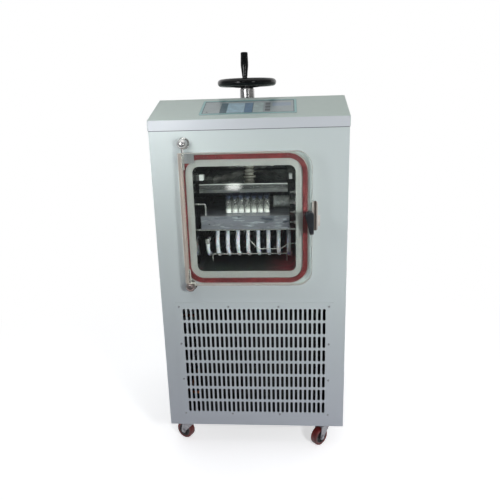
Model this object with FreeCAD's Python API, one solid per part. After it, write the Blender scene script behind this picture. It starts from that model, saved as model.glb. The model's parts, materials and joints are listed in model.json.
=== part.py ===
"""Floor-standing laboratory freeze dryer with a stoppering press.

Millimetres. The row frame has its origin on the floor, under the middle of the machine's outer box,
+X to the right of a person facing the door, +Y towards the back and +Z up. Most pieces are placed in
the cabinet's own coordinates: x from its centre line, y back from the front sheet, z up from the
bottom edge of the sheets.
"""
import FreeCAD
import Part
import math
import os

V = FreeCAD.Vector
X_AXIS = V(1, 0, 0)
Y_AXIS = V(0, 1, 0)
Z_AXIS = V(0, 0, 1)

# ---- clearances ---------------------------------------------------------------------------------
RUNNING = 0.05            # radial clearance of a pin or shaft that turns in its bore
FREE = 0.3                # gap between two bodies that pass each other
TINY = 0.01               # for picking edges, and to keep two rounds from meeting
UPRIGHT = 0.99            # least upward part of an upright edge's direction

# ---- cabinet ------------------------------------------------------------------------------------
CABINET_WIDTH = 600.0
CABINET_DEPTH = 650.0
SHEET = 1.5               # front, side and rear sheets
BASE_SHEET = 3.0
COVER_SHEET = 2.0
LIP_TOP = 1039.0          # front edge where the sloped console begins
LIP_HEIGHT = 31.0
SLOPE_RUN = 183.0
SLOPE_RISE = 59.0
BEND_RADIUS = 3.0
ANGLE_LEG = 30.0
ANGLE_WALL = 3.0

# ---- vacuum chamber -----------------------------------------------------------------------------
CHAMBER_X = -15.0
CHAMBER_WIDTH = 312.0
CHAMBER_HEIGHT = 332.0
CHAMBER_FLOOR = 569.0
CHAMBER_DEPTH = 440.0
CHAMBER_WALL = 3.0
CHAMBER_CORNER = 20.0
FLANGE_THICK = 4.0
FLANGE_WIDTH = 40.0
PANEL_CUT_GAP = 1.0
GASKET_INSET = 21.0       # bare flange between the mouth and the gasket
GASKET_WIDTH = 14.5
GASKET_THICK = 6.0
GASKET_CORNER = 43.0

# ---- door ---------------------------------------------------------------------------------------
DOOR_THICK = 30.0
DOOR_PAST_LEFT = 39.0     # door edges past the chamber's inner walls
DOOR_PAST_RIGHT = 49.0
DOOR_PAST_FLOOR = 39.0
DOOR_PAST_ROOF = 42.0
DOOR_CORNER = 46.0
DOOR_CHAMFER = 1.0
POST_RADIUS = 15.0
POST_DOME = 11.0
POST_FOOT = 2.5
UPPER_POST_RISE = 27.0    # above the door's top
LOWER_POST_DROP = 9.0     # below the door's bottom
HINGE_PIN_RADIUS = 4.5
PIN_PAST_POST = 10.0
UPPER_PIN_DEPTH = 49.0    # how far each pin goes into the door
LOWER_PIN_DEPTH = 50.0
NOTCH_GAP = 1.0
CORNER_PLATE_THICK = 1.5
CORNER_PLATE_WIDTH = 48.0
CORNER_PLATE_HEIGHT = 31.0

# ---- latch --------------------------------------------------------------------------------------
LATCH_INSET = 9.0         # from the door's right edge
LATCH_RISE = 225.0        # above the door's bottom
LATCH_SHAFT_RADIUS = 3.0
LATCH_HUB_RADIUS = 13.0
LATCH_END_RADIUS = 7.0
LATCH_END_X = 6.0
LATCH_END_DROP = 51.0
LATCH_STANDOFF = 6.0
LATCH_SHAFT_SINK = 8.0    # how far the shaft runs into the lever
LATCH_DEPTH = 21.0
LATCH_EDGE_ROUND = 4.0
LATCH_BOSS_RADIUS = 9.0
LATCH_TONGUE_GAP = 0.3
TONGUE_WIDTH = 7.0
TONGUE_THICK = 2.5
TONGUE_REACH = 20.0
TONGUE_ROOM = 0.5
KEEPER_GAP = 1.0          # between the door's edge and the keeper
KEEPER_DROP = 10.0        # keeper's middle below the latch shaft
KEEPER_WIDTH = 17.5
KEEPER_LENGTH = 92.0
KEEPER_DEPTH = 15.0
KEEPER_GROOVE = 2.0
KEEPER_GROOVE_END = 12.0
KEEPER_FOOT_GAP = 1.5
KEEPER_ROUND = 3.0
KEEPER_SCREW_RADIUS = 2.2
KEEPER_SCREW_DROP = 6.0
KEEPER_SCREW_HEIGHT = 1.5
KEEPER_EAR_WIDTH = 7.0
KEEPER_EAR_HEIGHT = 34.0
KEEPER_EAR_THICK = 3.0

# ---- stoppering press ---------------------------------------------------------------------------
PRESS_Y = 232.0
COLUMN_RADIUS = 24.0
COLUMN_RISE = 30.0        # above the flat top
COLUMN_FOOT_RADIUS = 42.0
COLUMN_FOOT_THICK = 8.0
PLUNGER_RADIUS = 15.0
PLUNGER_BEAD = 3.0
PLUNGER_DROP = 25.0       # its top below the column's shoulder
PLUNGER_FOOT_LIP = 7.0
PLUNGER_FOOT_THICK = 4.0
PLUNGER_NECK = 3.0
PLUNGER_STEP = 6.0        # rise of each slope and each bead
SCREW_RADIUS = 7.0
SCREW_COLLAR_RADIUS = 12.0
SCREW_COLLAR_THICK = 8.0
SCREW_ENGAGEMENT = 140.0
SCREW_TIP_ROOM = 10.0
JOURNAL_LENGTH = 28.0
PLATE_GAP_LEFT = 8.0
PLATE_GAP_RIGHT = 24.0
PLATE_FRONT = 60.0
PLATE_GAP_BACK = 36.0
PLATE_HEIGHT = 28.0
PRESS_TRAVEL = 16.0
GUIDE_FRONT = 60.0
GUIDE_DEPTH = 16.0
GUIDE_HEIGHT = 18.0
GUIDE_LEFT_REACH = 23.0
GUIDE_RIGHT_REACH = 20.0
GUIDE_ABOVE_PLATE = 12.0
GUIDE_CHAMFER = 1.0
PRESS_SPARE = 2.0         # left between the pressed plate and the stoppers
WHEEL_OUTER = 97.5
RIM_RADIUS = 12.0
RIM_RISE = 19.0           # rim's middle above the column
HUB_RADIUS = 22.0
HUB_HEIGHT = 22.0
HUB_CHAMFER = 3.0
SPOKE_COUNT = 3
SPOKE_RADIUS = 7.0
SPOKE_ROOT = 8.0           # how far it runs inside the hub
SPOKE_SINK = 2.0           # into the rim, and above the hub's foot
HUB_NUT_RADIUS = 12.0
HUB_NUT_HEIGHT = 9.0
HUB_NUT_SIDES = 6
GRIP_LENGTH = 72.5
GRIP_FOOT_RADIUS = 8.8
GRIP_HEAD_RADIUS = 11.2
GRIP_HEAD_ROUND = 3.0
GRIP_FLANK = ((10.2, 17.0), (12.0, 33.0), (11.8, 51.0))    # radius and height up its side
GRIP_FOOT_ROUND = 1.5
GRIP_FOOT_RISE = 2.0
GRIP_FOOT_BULGE = 0.4
GRIP_CROWN = 12.0          # solid head above the crank pin
GRIP_END_PLAY = 1.0
CRANK_PIN_RADIUS = 4.0
CRANK_COLLAR_RADIUS = 8.0
CRANK_COLLAR_THICK = 3.0

# ---- shelf and load -----------------------------------------------------------------------------
SHELF_GAP_LEFT = 9.0
SHELF_GAP_RIGHT = 19.0
SHELF_FRONT = 55.0
SHELF_GAP_BACK = 31.0
SHELF_HEIGHT = 43.0
SHELF_WALL = 2.0
BEARER_RADIUS = 3.0
BEARER_GAP = 1.0          # between the coil and the bearers
BEARER_FRONT_INSET = 8.0
BEARER_BACK_INSET = 20.0
HEATER_THICK = 3.0
HEATER_MARGIN = 12.0
SHELF_HOLE_RADIUS = 2.0
SHELF_HOLE_INSET = 26.0
STUD_HEIGHTS = (72.0, 36.0, 8.0, -26.0)
STUD_Y = 75.0
STUD_RADIUS = 2.5
STUD_LENGTH = 17.0
STUD_NUT_RADIUS = 5.0
STUD_NUT_LENGTH = 5.0
PROBE_Y = 72.0
PROBE_REACH = 23.0
PROBE_RISE = 37.0
PROBE_RADIUS = 3.0
PROBE_BEND = 6.6
LEAD_RADIUS = 1.25
LEAD_AHEAD = 12.0         # in front of the coil
LEAD_BEND = 16.0
LEAD_LEFT = -18.0
LEAD_RISE = 48.0          # its low run above the chamber floor
LEAD_WALL_RISE = 66.0
LEAD_KNEE = 36.0          # its bend's size, and where the slant to the wall starts and ends
LEAD_LEAN = 4.0
LEAD_SLANT_START = 49.0
LEAD_SLANT_END = 22.0
HOSE_REACH = 73.0
HOSE_LENGTH = 56.0
HOSE_Y = 190.0
HOSE_RADIUS = 22.0
HOSE_WAVE = 3.5
HOSE_RIBS = 11
HOSE_TAIL_RADIUS = 8.0
HOSE_WAVE_SHARES = ((0.2, 0), (0.4, 1), (0.7, 1), (0.9, 0))   # along one rib, and its rise
VIAL_RADIUS = 10.25
VIAL_HEIGHT = 49.0
VIAL_BODY_HEIGHT = 35.0
VIAL_NECK_RADIUS = 7.5
VIAL_LIP_RADIUS = 9.0
VIAL_LIP_HEIGHT = 4.0
VIAL_WALL = 1.2
VIAL_GAP = 0.4
VIAL_COLUMNS = 7
VIAL_ROWS = 5
LOAD_HOSE_GAP = 9.85
LOAD_SETBACK = 56.0       # first row's middle behind the shelf's front
CAKE_HEIGHT = 12.0
STOPPER_FLANGE_RADIUS = 9.0
STOPPER_FLANGE_THICK = 3.5
STOPPER_RAISED = 4.5
STOPPER_PLUG_DEPTH = 5.0
STOPPER_FIT = 0.1

# ---- condenser coil -----------------------------------------------------------------------------
COIL_RADIUS = 47.0
COIL_TUBE_RADIUS = 7.0
COIL_TURNS = 8.25         # from the front of the first turn to the bottom of the last
COIL_POINTS = 12          # curve points in each turn
COIL_LEFT_GAP = 18.5
COIL_RIGHT_GAP = 13.0
COIL_FRONT = 100.0
COIL_FLOOR_GAP = 8.0
CRADLE_ROD_RADIUS = 2.0
CRADLE_ANGLE = 48.0
CRADLE_FOOT_THICK = 3.0
STUB_LENGTH = 26.0
UNION_RADIUS = 9.5
UNION_LENGTH = 18.0
ELBOW_RADIUS = 8.5
ELBOW_LENGTH = 17.0

# ---- grille -------------------------------------------------------------------------------------
GRILLE_X = 2.0
GRILLE_Z = 244.0
GRILLE_SIDE_MARGIN = 40.0
GRILLE_HEIGHT = 428.0
GRILLE_BORDER = 22.0
GRILLE_CORNER = 3.0
AIR_CORNER = 6.0
SLOT_COLUMNS = 31
SLOT_ROWS = 8
SLOT_MARGIN_X = 30.5      # from the panel's edge to the middle of the outer slots
SLOT_MARGIN_Z = 42.85
SLOT_RIB = 6.3            # metal between slots, across and up
SLOT_BRIDGE = 7.9
SCREW_EDGE_X = 14.75
SCREW_EDGE_Z = 15.0
SCREW_HEAD_RADIUS = 3.6
SCREW_HEAD_THICK = 2.0
SCREW_SHANK_RADIUS = 2.0
SCREW_SHANK_LENGTH = 8.0
SCREW_DOME_SHARE = 0.75    # dome's radius against the head's

# ---- console ------------------------------------------------------------------------------------
CONSOLE_LEFT = -150.0
CONSOLE_RIGHT = 147.0
CONSOLE_FRONT = 34.0
CONSOLE_BACK = 165.0
CONSOLE_THICK = 1.5
CONSOLE_CORNER = 5.0
DISPLAY_LEFT = -88.0
DISPLAY_RIGHT = 12.0
DISPLAY_FRONT = 46.0
DISPLAY_BACK = 138.0
DISPLAY_DEPTH = 14.0
DISPLAY_GAP = 0.5

# ---- casters ------------------------------------------------------------------------------------
CASTER_SIDE_INSET = 62.0
CASTER_END_INSET = 45.0
CASTER_HEADROOM = 25.0    # from the top of the wheel to the bottom of the cabinet
WHEEL_RADIUS = 31.5
WHEEL_WIDTH = 24.0
WHEEL_HUB_RADIUS = 23.0
HUB_BOSS_WALL = 5.0
HUB_BOSS_FLARE = 2.0
HUB_DISH = 3.0
HUB_RIM_WALL = 4.0
TREAD_SHOULDER = 7.0
TREAD_INSET = 1.0
TREAD_ROUND = 3.0
CASTER_TRAIL = 25.0
CASTER_PLATE = 66.0
CASTER_PLATE_THICK = 3.0
RACE_RADIUS = 22.0
RACE_DEPTH = 12.0
FORK_GAP = 1.5
FORK_WALL = 3.0
KING_PIN_RADIUS = 5.0
KING_HEAD_RADIUS = 8.0
KING_HEAD_THICK = 3.0
AXLE_RADIUS = 4.0
AXLE_HEAD_RADIUS = 6.5
AXLE_HEAD_THICK = 3.0
AXLE_BOSS_WALL = 2.5
FORK_BACK_INSET = 2.0
FORK_FRONT_REACH = 4.0
CASTER_TURNS = {
    "front_right": -135.0,
    "front_left": 153.0,
    "rear_right": 20.0,
    "rear_left": 110.0,
}

# ---- refrigeration ------------------------------------------------------------------------------
RADIATOR_X = 2.0
RADIATOR_Z = 235.0
RADIATOR_WIDTH = 400.0
RADIATOR_HEIGHT = 340.0
RADIATOR_FRONT = 40.0
RADIATOR_DEPTH = 54.0
RADIATOR_FINS = 50
STAND_INSET = 4.0
STAND_LEG = 8.0
STAND_FRONT_WALL = 2.0
STAND_TOP = 4.0
FIN_THICK = 3.0
FIN_HEIGHT = 8.0
RETURN_BENDS = 8
RETURN_BEND_RADIUS = 16.0
RETURN_TUBE_RADIUS = 5.0
SHROUD_SIZE = 320.0
SHROUD_DEPTH = 40.0
SHROUD_WALL = 2.0
FAN_RADIUS = 138.0
FAN_TIP_GAP = 6.0
FAN_HUB_RADIUS = 32.0
FAN_HUB_DEPTH = 26.0
FAN_BLADES = 5
FAN_BLADE_THICK = 2.5
FAN_BLADE_TILT = 32.0
FAN_BLADE_CHORD = 44.0
FAN_BLADE_ROOT = 6.0       # how far a blade runs inside the hub
MOTOR_RADIUS = 36.0
MOTOR_DEPTH = 52.0
MOTOR_SHAFT_RADIUS = 4.0
MOTOR_BAR_WIDTH = 16.0
MOTOR_BAR_THICK = 3.0
MOTOR_BAR_SHARE = 0.6      # of the motor's radius, from its middle to each bar
MOTOR_SHAFT_ROOM = 2.0
COMPRESSOR_X = -130.0
COMPRESSOR_FROM_BACK = 150.0
COMPRESSOR_RADIUS = 85.0
COMPRESSOR_HEIGHT = 235.0
COMPRESSOR_DOME = 40.0
COMPRESSOR_ROUND = 12.0
COMPRESSOR_ROUND_MIDDLE = 3.5
FOOT_PLATE = 210.0
FOOT_PLATE_THICK = 4.0
MOUNT_RADIUS = 13.0
MOUNT_HEIGHT = 20.0
MOUNT_INSET = 22.0
PIPE_RADIUS = 5.0
PIPE_BEND = 24.0
DISCHARGE_BEND = 21.6
LIQUID_BEND = 19.2
LIQUID_BACK_RUN = 60.0    # from the coil's tails to the line's rise
PIPE_OUT = 47.0
PIPE_HEIGHT = 60.0        # below the can's shoulder
SUCTION_OUT = 85.0        # the suction line comes down this far from the can
LIQUID_SIDE_INSET = 60.0
LIQUID_Y = 345.0
LIQUID_Z = 450.0
DRIER_RADIUS = 14.0
DRIER_LENGTH = 90.0

# ---- services on the rear sheet -----------------------------------------------------------------
VACUUM_PIPE_RADIUS = 14.0
VACUUM_BORE_RADIUS = 12.0
VACUUM_FLANGE_RADIUS = 20.0
VACUUM_FLANGE_THICK = 3.0
VACUUM_FLANGE_TAPER = 4.0
VACUUM_REACH = 40.0
VACUUM_Z = 640.0
VACUUM_X = 60.0
INLET_WIDTH = 50.0
INLET_HEIGHT = 28.0
INLET_DEPTH = 30.0
INLET_RIM_SIDE = 8.0
INLET_RIM = 3.0
INLET_SIDE_WALL = 12.0
INLET_WALL = 5.0
INLET_FLOOR = 6.0
BLADE_PITCH = 7.0
BLADE_THICK = 2.0
BLADE_HEIGHT = 4.0
BLADE_INSET = 5.0
INLET_SIDE_INSET = 110.0
INLET_Z = 150.0
DRAIN_X = -15.0
DRAIN_Y = 340.0
DRAIN_RADIUS = 8.0
DRAIN_WALL = 2.0
DRAIN_Z = 480.0
DRAIN_REACH = 28.0
DRAIN_CAP_RADIUS = 12.0
DRAIN_CAP_LENGTH = 16.0
BOX_WIDTH = 150.0
BOX_DEPTH = 150.0
BOX_HEIGHT = 240.0
BOX_SIDE_GAP = 10.0
BOX_FROM_BACK = 150.0
VENT_COUNT = 12
VENT_LENGTH = 160.0
VENT_WIDTH = 5.0
VENT_PITCH = 16.0
VENT_BANK_GAP = 30.0
VENT_RISE = 60.0           # middle of the banks above the fan's

# ---- worked out from the above ------------------------------------------------------------------
HALF_WIDTH = CABINET_WIDTH / 2
BASE_HEIGHT = 2 * WHEEL_RADIUS + CASTER_HEADROOM      # floor to the bottom edge of the sheets
FLAT_TOP = LIP_TOP + SLOPE_RISE
SLOPE_ANGLE = math.degrees(math.atan2(SLOPE_RISE, SLOPE_RUN))

CHAMBER_TOP = CHAMBER_FLOOR + CHAMBER_HEIGHT
CHAMBER_ROOF = CHAMBER_TOP + CHAMBER_WALL
CHAMBER_LEFT = CHAMBER_X - CHAMBER_WIDTH / 2
CHAMBER_RIGHT = CHAMBER_X + CHAMBER_WIDTH / 2

GASKET_FACE = -FLANGE_THICK - GASKET_THICK
DOOR_BACK = GASKET_FACE - FREE
DOOR_FRONT = DOOR_BACK - DOOR_THICK
DOOR_LEFT = CHAMBER_LEFT - DOOR_PAST_LEFT
DOOR_RIGHT = CHAMBER_RIGHT + DOOR_PAST_RIGHT
DOOR_BOTTOM = CHAMBER_FLOOR - DOOR_PAST_FLOOR
DOOR_TOP = CHAMBER_TOP + DOOR_PAST_ROOF
HINGE_Y = DOOR_BACK - DOOR_THICK / 2
HINGE_X = DOOR_LEFT + DOOR_THICK / 2
POST_REACH = -DOOR_FRONT - FREE
UPPER_POST_Z = DOOR_TOP + UPPER_POST_RISE
LOWER_POST_Z = DOOR_BOTTOM - LOWER_POST_DROP
UPPER_PIN_END = DOOR_TOP - UPPER_PIN_DEPTH
LOWER_PIN_END = DOOR_BOTTOM + LOWER_PIN_DEPTH

LATCH_X = DOOR_RIGHT - LATCH_INSET
LATCH_Z = DOOR_BOTTOM + LATCH_RISE
LATCH_BACK = DOOR_FRONT - LATCH_STANDOFF
LATCH_FRONT = LATCH_BACK - LATCH_DEPTH
TONGUE_FRONT = DOOR_BACK + LATCH_TONGUE_GAP
KEEPER_X = DOOR_RIGHT + KEEPER_GAP + KEEPER_WIDTH / 2
KEEPER_Z = LATCH_Z - KEEPER_DROP
KEEPER_BACK = TONGUE_FRONT - TONGUE_ROOM

COIL_FIRST_X = CHAMBER_LEFT + COIL_LEFT_GAP
COIL_PITCH = (CHAMBER_WIDTH - COIL_LEFT_GAP - COIL_RIGHT_GAP) / COIL_TURNS
COIL_Y = COIL_FRONT + COIL_RADIUS + COIL_TUBE_RADIUS
COIL_Z = CHAMBER_FLOOR + COIL_FLOOR_GAP + COIL_RADIUS + COIL_TUBE_RADIUS
COIL_TOP = COIL_Z + COIL_RADIUS + COIL_TUBE_RADIUS

SHELF_LEFT = CHAMBER_LEFT + SHELF_GAP_LEFT
SHELF_WIDTH = CHAMBER_WIDTH - SHELF_GAP_LEFT - SHELF_GAP_RIGHT
SHELF_DEPTH = CHAMBER_DEPTH - SHELF_FRONT - SHELF_GAP_BACK
SHELF_BOTTOM = COIL_TOP + BEARER_GAP + 2 * BEARER_RADIUS
SHELF_TOP = SHELF_BOTTOM + SHELF_HEIGHT
HOSE_LEFT = CHAMBER_RIGHT - HOSE_REACH
VIAL_PITCH = 2 * VIAL_RADIUS + VIAL_GAP
VIAL_FIRST_X = HOSE_LEFT - LOAD_HOSE_GAP - VIAL_RADIUS - (VIAL_COLUMNS - 1) * VIAL_PITCH
VIAL_FIRST_Y = SHELF_FRONT + LOAD_SETBACK
STOPPER_TOP = SHELF_TOP + VIAL_HEIGHT + STOPPER_RAISED + STOPPER_FLANGE_THICK

PRESS_X = CHAMBER_X
COLUMN_TOP = FLAT_TOP + COLUMN_RISE
COLUMN_SHOULDER = COLUMN_TOP - JOURNAL_LENGTH
PLUNGER_TOP = COLUMN_SHOULDER - PLUNGER_DROP
SCREW_END = PLUNGER_TOP - SCREW_ENGAGEMENT
PLATE_BOTTOM = STOPPER_TOP + PRESS_SPARE + PRESS_TRAVEL
PLATE_TOP = PLATE_BOTTOM + PLATE_HEIGHT
RIM_Z = COLUMN_TOP + RIM_RISE

GRILLE_WIDTH = CABINET_WIDTH - 2 * GRILLE_SIDE_MARGIN
SLOT_PITCH_X = (GRILLE_WIDTH - 2 * SLOT_MARGIN_X) / (SLOT_COLUMNS - 1)
SLOT_PITCH_Z = (GRILLE_HEIGHT - 2 * SLOT_MARGIN_Z) / (SLOT_ROWS - 1)
SLOT_WIDTH = SLOT_PITCH_X - SLOT_RIB
SLOT_LENGTH = SLOT_PITCH_Z - SLOT_BRIDGE

CASTER_X = HALF_WIDTH - CASTER_SIDE_INSET
FAN_Y = RADIATOR_FRONT + RADIATOR_DEPTH + SHROUD_DEPTH / 2
COMPRESSOR_Y = CABINET_DEPTH - COMPRESSOR_FROM_BACK
LIQUID_X = LIQUID_SIDE_INSET - HALF_WIDTH
INLET_X = HALF_WIDTH - INLET_SIDE_INSET
BOX_X = HALF_WIDTH - BOX_SIDE_GAP - BOX_WIDTH / 2
BOX_Y = CABINET_DEPTH - BOX_FROM_BACK
REAR_MOST = CABINET_DEPTH + VACUUM_REACH
FRONT_Y = -(REAR_MOST + LATCH_FRONT) / 2      # row y of the front sheet, so the outer box is centred


# ---- building blocks ----------------------------------------------------------------------------
def block(x0, x1, y0, y1, z0, z1):
    """Box between two corners."""
    return Part.makeBox(x1 - x0, y1 - y0, z1 - z0, V(x0, y0, z0))


def rod(radius, start, end):
    """Round bar from one point to another."""
    run = end - start
    return Part.makeCylinder(radius, run.Length, start, run)


def fuse(shapes):
    """One body from several that touch or overlap."""
    whole = shapes[0].fuse(shapes[1:])
    return whole.removeSplitter()


def turned(profile, centre, axis=Z_AXIS):
    """Solid of revolution: profile is a list of (radius, height) pairs along the axis."""
    points = [V(radius, 0, height) for radius, height in profile]
    face = Part.Face(Part.makePolygon(points + [points[0]]))
    body = face.revolve(V(0, 0, 0), Z_AXIS, 360)
    body.Placement = FreeCAD.Placement(centre, FreeCAD.Rotation(Z_AXIS, axis))
    return body


def mirrored(half):
    """Profile of a turned piece that is the same on both sides: half runs outwards at height > 0."""
    return [(radius, -height) for radius, height in half] + half[::-1]


def round_rect_wire(x0, x1, z0, z1, radii, y=0.0):
    """Closed outline in an XZ plane; radii run bottom left, bottom right, top right, top left."""
    corners = [(x0, z0, 1, 1), (x1, z0, -1, 1), (x1, z1, -1, -1), (x0, z1, 1, -1)]
    ends = []
    for index, (x, z, inward_x, inward_z) in enumerate(corners):
        radius = radii[index]
        along_x = V(x + inward_x * radius, y, z)
        along_z = V(x, y, z + inward_z * radius)
        bend = radius * (1 - math.sqrt(0.5))
        middle = V(x + inward_x * bend, y, z + inward_z * bend)
        first, last = (along_z, along_x) if index % 2 == 0 else (along_x, along_z)
        ends.append((first, middle, last))
    edges = []
    for index, (first, middle, last) in enumerate(ends):
        edges.append(Part.Arc(first, middle, last).toShape())
        edges.append(Part.LineSegment(last, ends[(index + 1) % 4][0]).toShape())
    return Part.Wire(edges)


def round_plate(x0, x1, z0, z1, radii, y0, y1, holes=()):
    """Plate with rounded corners, standing in XZ, from y0 back to y1."""
    outline = round_rect_wire(x0, x1, z0, z1, radii, y0)
    return pierced([outline] + list(holes), y1 - y0)


def pierced(wires, thickness):
    """Sheet between an outer outline and the outlines of its holes."""
    return Part.makeFace(wires, "Part::FaceMakerBullseye").extrude(V(0, thickness, 0))


def cap_arc(radius, low, high):
    """Arc of a round cap from its rim, at height low, to its pole on the axis, at height high."""
    rise = high - low
    sphere = (radius ** 2 + rise ** 2) / (2 * rise)
    half = math.atan2(radius, sphere - rise) / 2
    middle = V(sphere * math.sin(half), 0, high - sphere + sphere * math.cos(half))
    return Part.Arc(V(radius, 0, low), middle, V(0, 0, high)).toShape()


def tube_path(points, radius, bend):
    """Round tube on straight runs with an arc of the given bend radius at each inner point."""
    edges = []
    last = points[0]
    for before, corner, after in zip(points, points[1:], points[2:]):
        back = (before - corner).normalize()
        ahead = (after - corner).normalize()
        half = back.getAngle(ahead) / 2
        set_back = bend / math.tan(half)
        start = corner + back * set_back
        end = corner + ahead * set_back
        inward = (back + ahead).normalize()
        middle = corner + inward * (bend / math.sin(half) - bend)
        edges.append(Part.LineSegment(last, start).toShape())
        edges.append(Part.Arc(start, middle, end).toShape())
        last = end
    edges.append(Part.LineSegment(last, points[-1]).toShape())
    first_run = points[1] - points[0]
    section = Part.Wire(Part.makeCircle(radius, points[0], first_run))
    return Part.Wire(edges).makePipeShell([section], True, False)


def on_slope(shape):
    """Move a shape from console coordinates (x, distance up the slope, height) to the cabinet."""
    tilt = FreeCAD.Rotation(X_AXIS, SLOPE_ANGLE)
    shape.Placement = FreeCAD.Placement(V(0, -COVER_SHEET, LIP_TOP), tilt).multiply(shape.Placement)
    return shape


# ---- cabinet ------------------------------------------------------------------------------------
def grille_screw_points():
    """Centres of the screws round the grille panel: four across, and two between at each side."""
    span_x = GRILLE_WIDTH - 2 * SCREW_EDGE_X
    span_z = GRILLE_HEIGHT - 2 * SCREW_EDGE_Z
    left = GRILLE_X - span_x / 2
    low = GRILLE_Z - span_z / 2
    points = []
    for step in range(4):
        x = left + span_x * step / 3
        z = low + span_z * step / 3
        points += [(x, low), (x, low + span_z)]
        if step in (1, 2):
            points += [(left, z), (left + span_x, z)]
    return points


def front_panel():
    gap = PANEL_CUT_GAP
    mouth = round_rect_wire(
        CHAMBER_LEFT - CHAMBER_WALL - gap,
        CHAMBER_RIGHT + CHAMBER_WALL + gap,
        CHAMBER_FLOOR - CHAMBER_WALL - gap,
        CHAMBER_ROOF + gap,
        [CHAMBER_CORNER + CHAMBER_WALL + gap] * 4,
    )
    half_width = GRILLE_WIDTH / 2 - GRILLE_BORDER
    half_height = GRILLE_HEIGHT / 2 - GRILLE_BORDER
    air = round_rect_wire(
        GRILLE_X - half_width, GRILLE_X + half_width,
        GRILLE_Z - half_height, GRILLE_Z + half_height, [AIR_CORNER] * 4,
    )
    outline = round_rect_wire(
        -HALF_WIDTH, HALF_WIDTH, 0, LIP_TOP - COVER_SHEET, [1.0] * 4,
    )
    sheet = pierced([outline, mouth, air], SHEET)
    return sheet.cut([screw_hole(x, z) for x, z in grille_screw_points()])


def screw_hole(x, z):
    return rod(SCREW_SHANK_RADIUS, V(x, -SHEET, z), V(x, 2 * SHEET, z))


def grille_panel():
    holes = []
    for column in range(SLOT_COLUMNS):
        x = GRILLE_X + (column - (SLOT_COLUMNS - 1) / 2) * SLOT_PITCH_X
        for row in range(SLOT_ROWS):
            z = GRILLE_Z + (row - (SLOT_ROWS - 1) / 2) * SLOT_PITCH_Z
            holes.append(slot_wire(x, z, SLOT_WIDTH, SLOT_LENGTH, -SHEET))
    half_width = GRILLE_WIDTH / 2
    half_height = GRILLE_HEIGHT / 2
    sheet = round_plate(
        GRILLE_X - half_width, GRILLE_X + half_width,
        GRILLE_Z - half_height, GRILLE_Z + half_height, [GRILLE_CORNER] * 4, -SHEET, 0, holes,
    )
    return sheet.cut([screw_hole(x, z) for x, z in grille_screw_points()])


def slot_wire(x, z, width, length, y):
    """Upright obround slot outline in an XZ plane."""
    radius = width / 2
    rise = length / 2 - radius
    top = Part.Arc(V(x + radius, y, z + rise), V(x, y, z + rise + radius), V(x - radius, y, z + rise))
    base = Part.Arc(V(x - radius, y, z - rise), V(x, y, z - rise - radius), V(x + radius, y, z - rise))
    left = Part.LineSegment(V(x - radius, y, z + rise), V(x - radius, y, z - rise))
    right = Part.LineSegment(V(x + radius, y, z - rise), V(x + radius, y, z + rise))
    return Part.Wire([top.toShape(), left.toShape(), base.toShape(), right.toShape()])


def grille_screws():
    screws = []
    dome = SCREW_HEAD_RADIUS * SCREW_DOME_SHARE
    profile = [
        (0, -SCREW_SHANK_LENGTH), (SCREW_SHANK_RADIUS, -SCREW_SHANK_LENGTH), (SCREW_SHANK_RADIUS, 0),
        (SCREW_HEAD_RADIUS, 0), (SCREW_HEAD_RADIUS, SCREW_HEAD_THICK / 2), (dome, SCREW_HEAD_THICK),
        (0, SCREW_HEAD_THICK),
    ]
    for x, z in grille_screw_points():
        screws.append(turned(profile, V(x, -SHEET, z), V(0, -1, 0)))
    return Part.makeCompound(screws)


def top_cover():
    """Folded lid: a lip all round, the sloped console, and the flat top behind it."""
    def outline(inset):
        front = -COVER_SHEET + inset
        back = CABINET_DEPTH + COVER_SHEET - inset
        drop = inset / math.cos(math.radians(SLOPE_ANGLE))
        lift = inset * math.tan(math.radians(SLOPE_ANGLE))
        bend_y = SLOPE_RUN - COVER_SHEET + (drop - inset) / math.tan(math.radians(SLOPE_ANGLE))
        low = LIP_TOP - LIP_HEIGHT
        return [
            V(0, front, low), V(0, front, LIP_TOP - drop + lift), V(0, bend_y, FLAT_TOP - inset),
            V(0, back, FLAT_TOP - inset), V(0, back, low),
        ]

    def prism(inset):
        points = outline(inset)
        half = HALF_WIDTH + COVER_SHEET - inset
        face = Part.Face(Part.makePolygon(points + [points[0]]))
        body = face.extrude(V(2 * half, 0, 0))
        body.translate(V(-half, 0, 0))
        return body

    outer = prism(0)
    rim = LIP_TOP - LIP_HEIGHT
    bends = [edge for edge in outer.Edges if edge.BoundBox.ZMax > rim + SHEET]
    lid = outer.makeFillet(BEND_RADIUS, bends).cut(prism(COVER_SHEET))
    window = block(
        DISPLAY_LEFT - DISPLAY_GAP, DISPLAY_RIGHT + DISPLAY_GAP,
        DISPLAY_FRONT - DISPLAY_GAP, DISPLAY_BACK + DISPLAY_GAP, -3 * COVER_SHEET, COVER_SHEET,
    )
    column = rod(COLUMN_RADIUS + DISPLAY_GAP, V(PRESS_X, PRESS_Y, LIP_TOP), V(PRESS_X, PRESS_Y, COLUMN_TOP))
    return lid.cut([on_slope(window), column])


def side_panel(side):
    outer = side * HALF_WIDTH
    inner = side * (HALF_WIDTH - SHEET)
    x0, x1 = sorted((outer, inner))
    return block(x0, x1, SHEET, CABINET_DEPTH - SHEET, 0, LIP_TOP - COVER_SHEET - SHEET)


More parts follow.
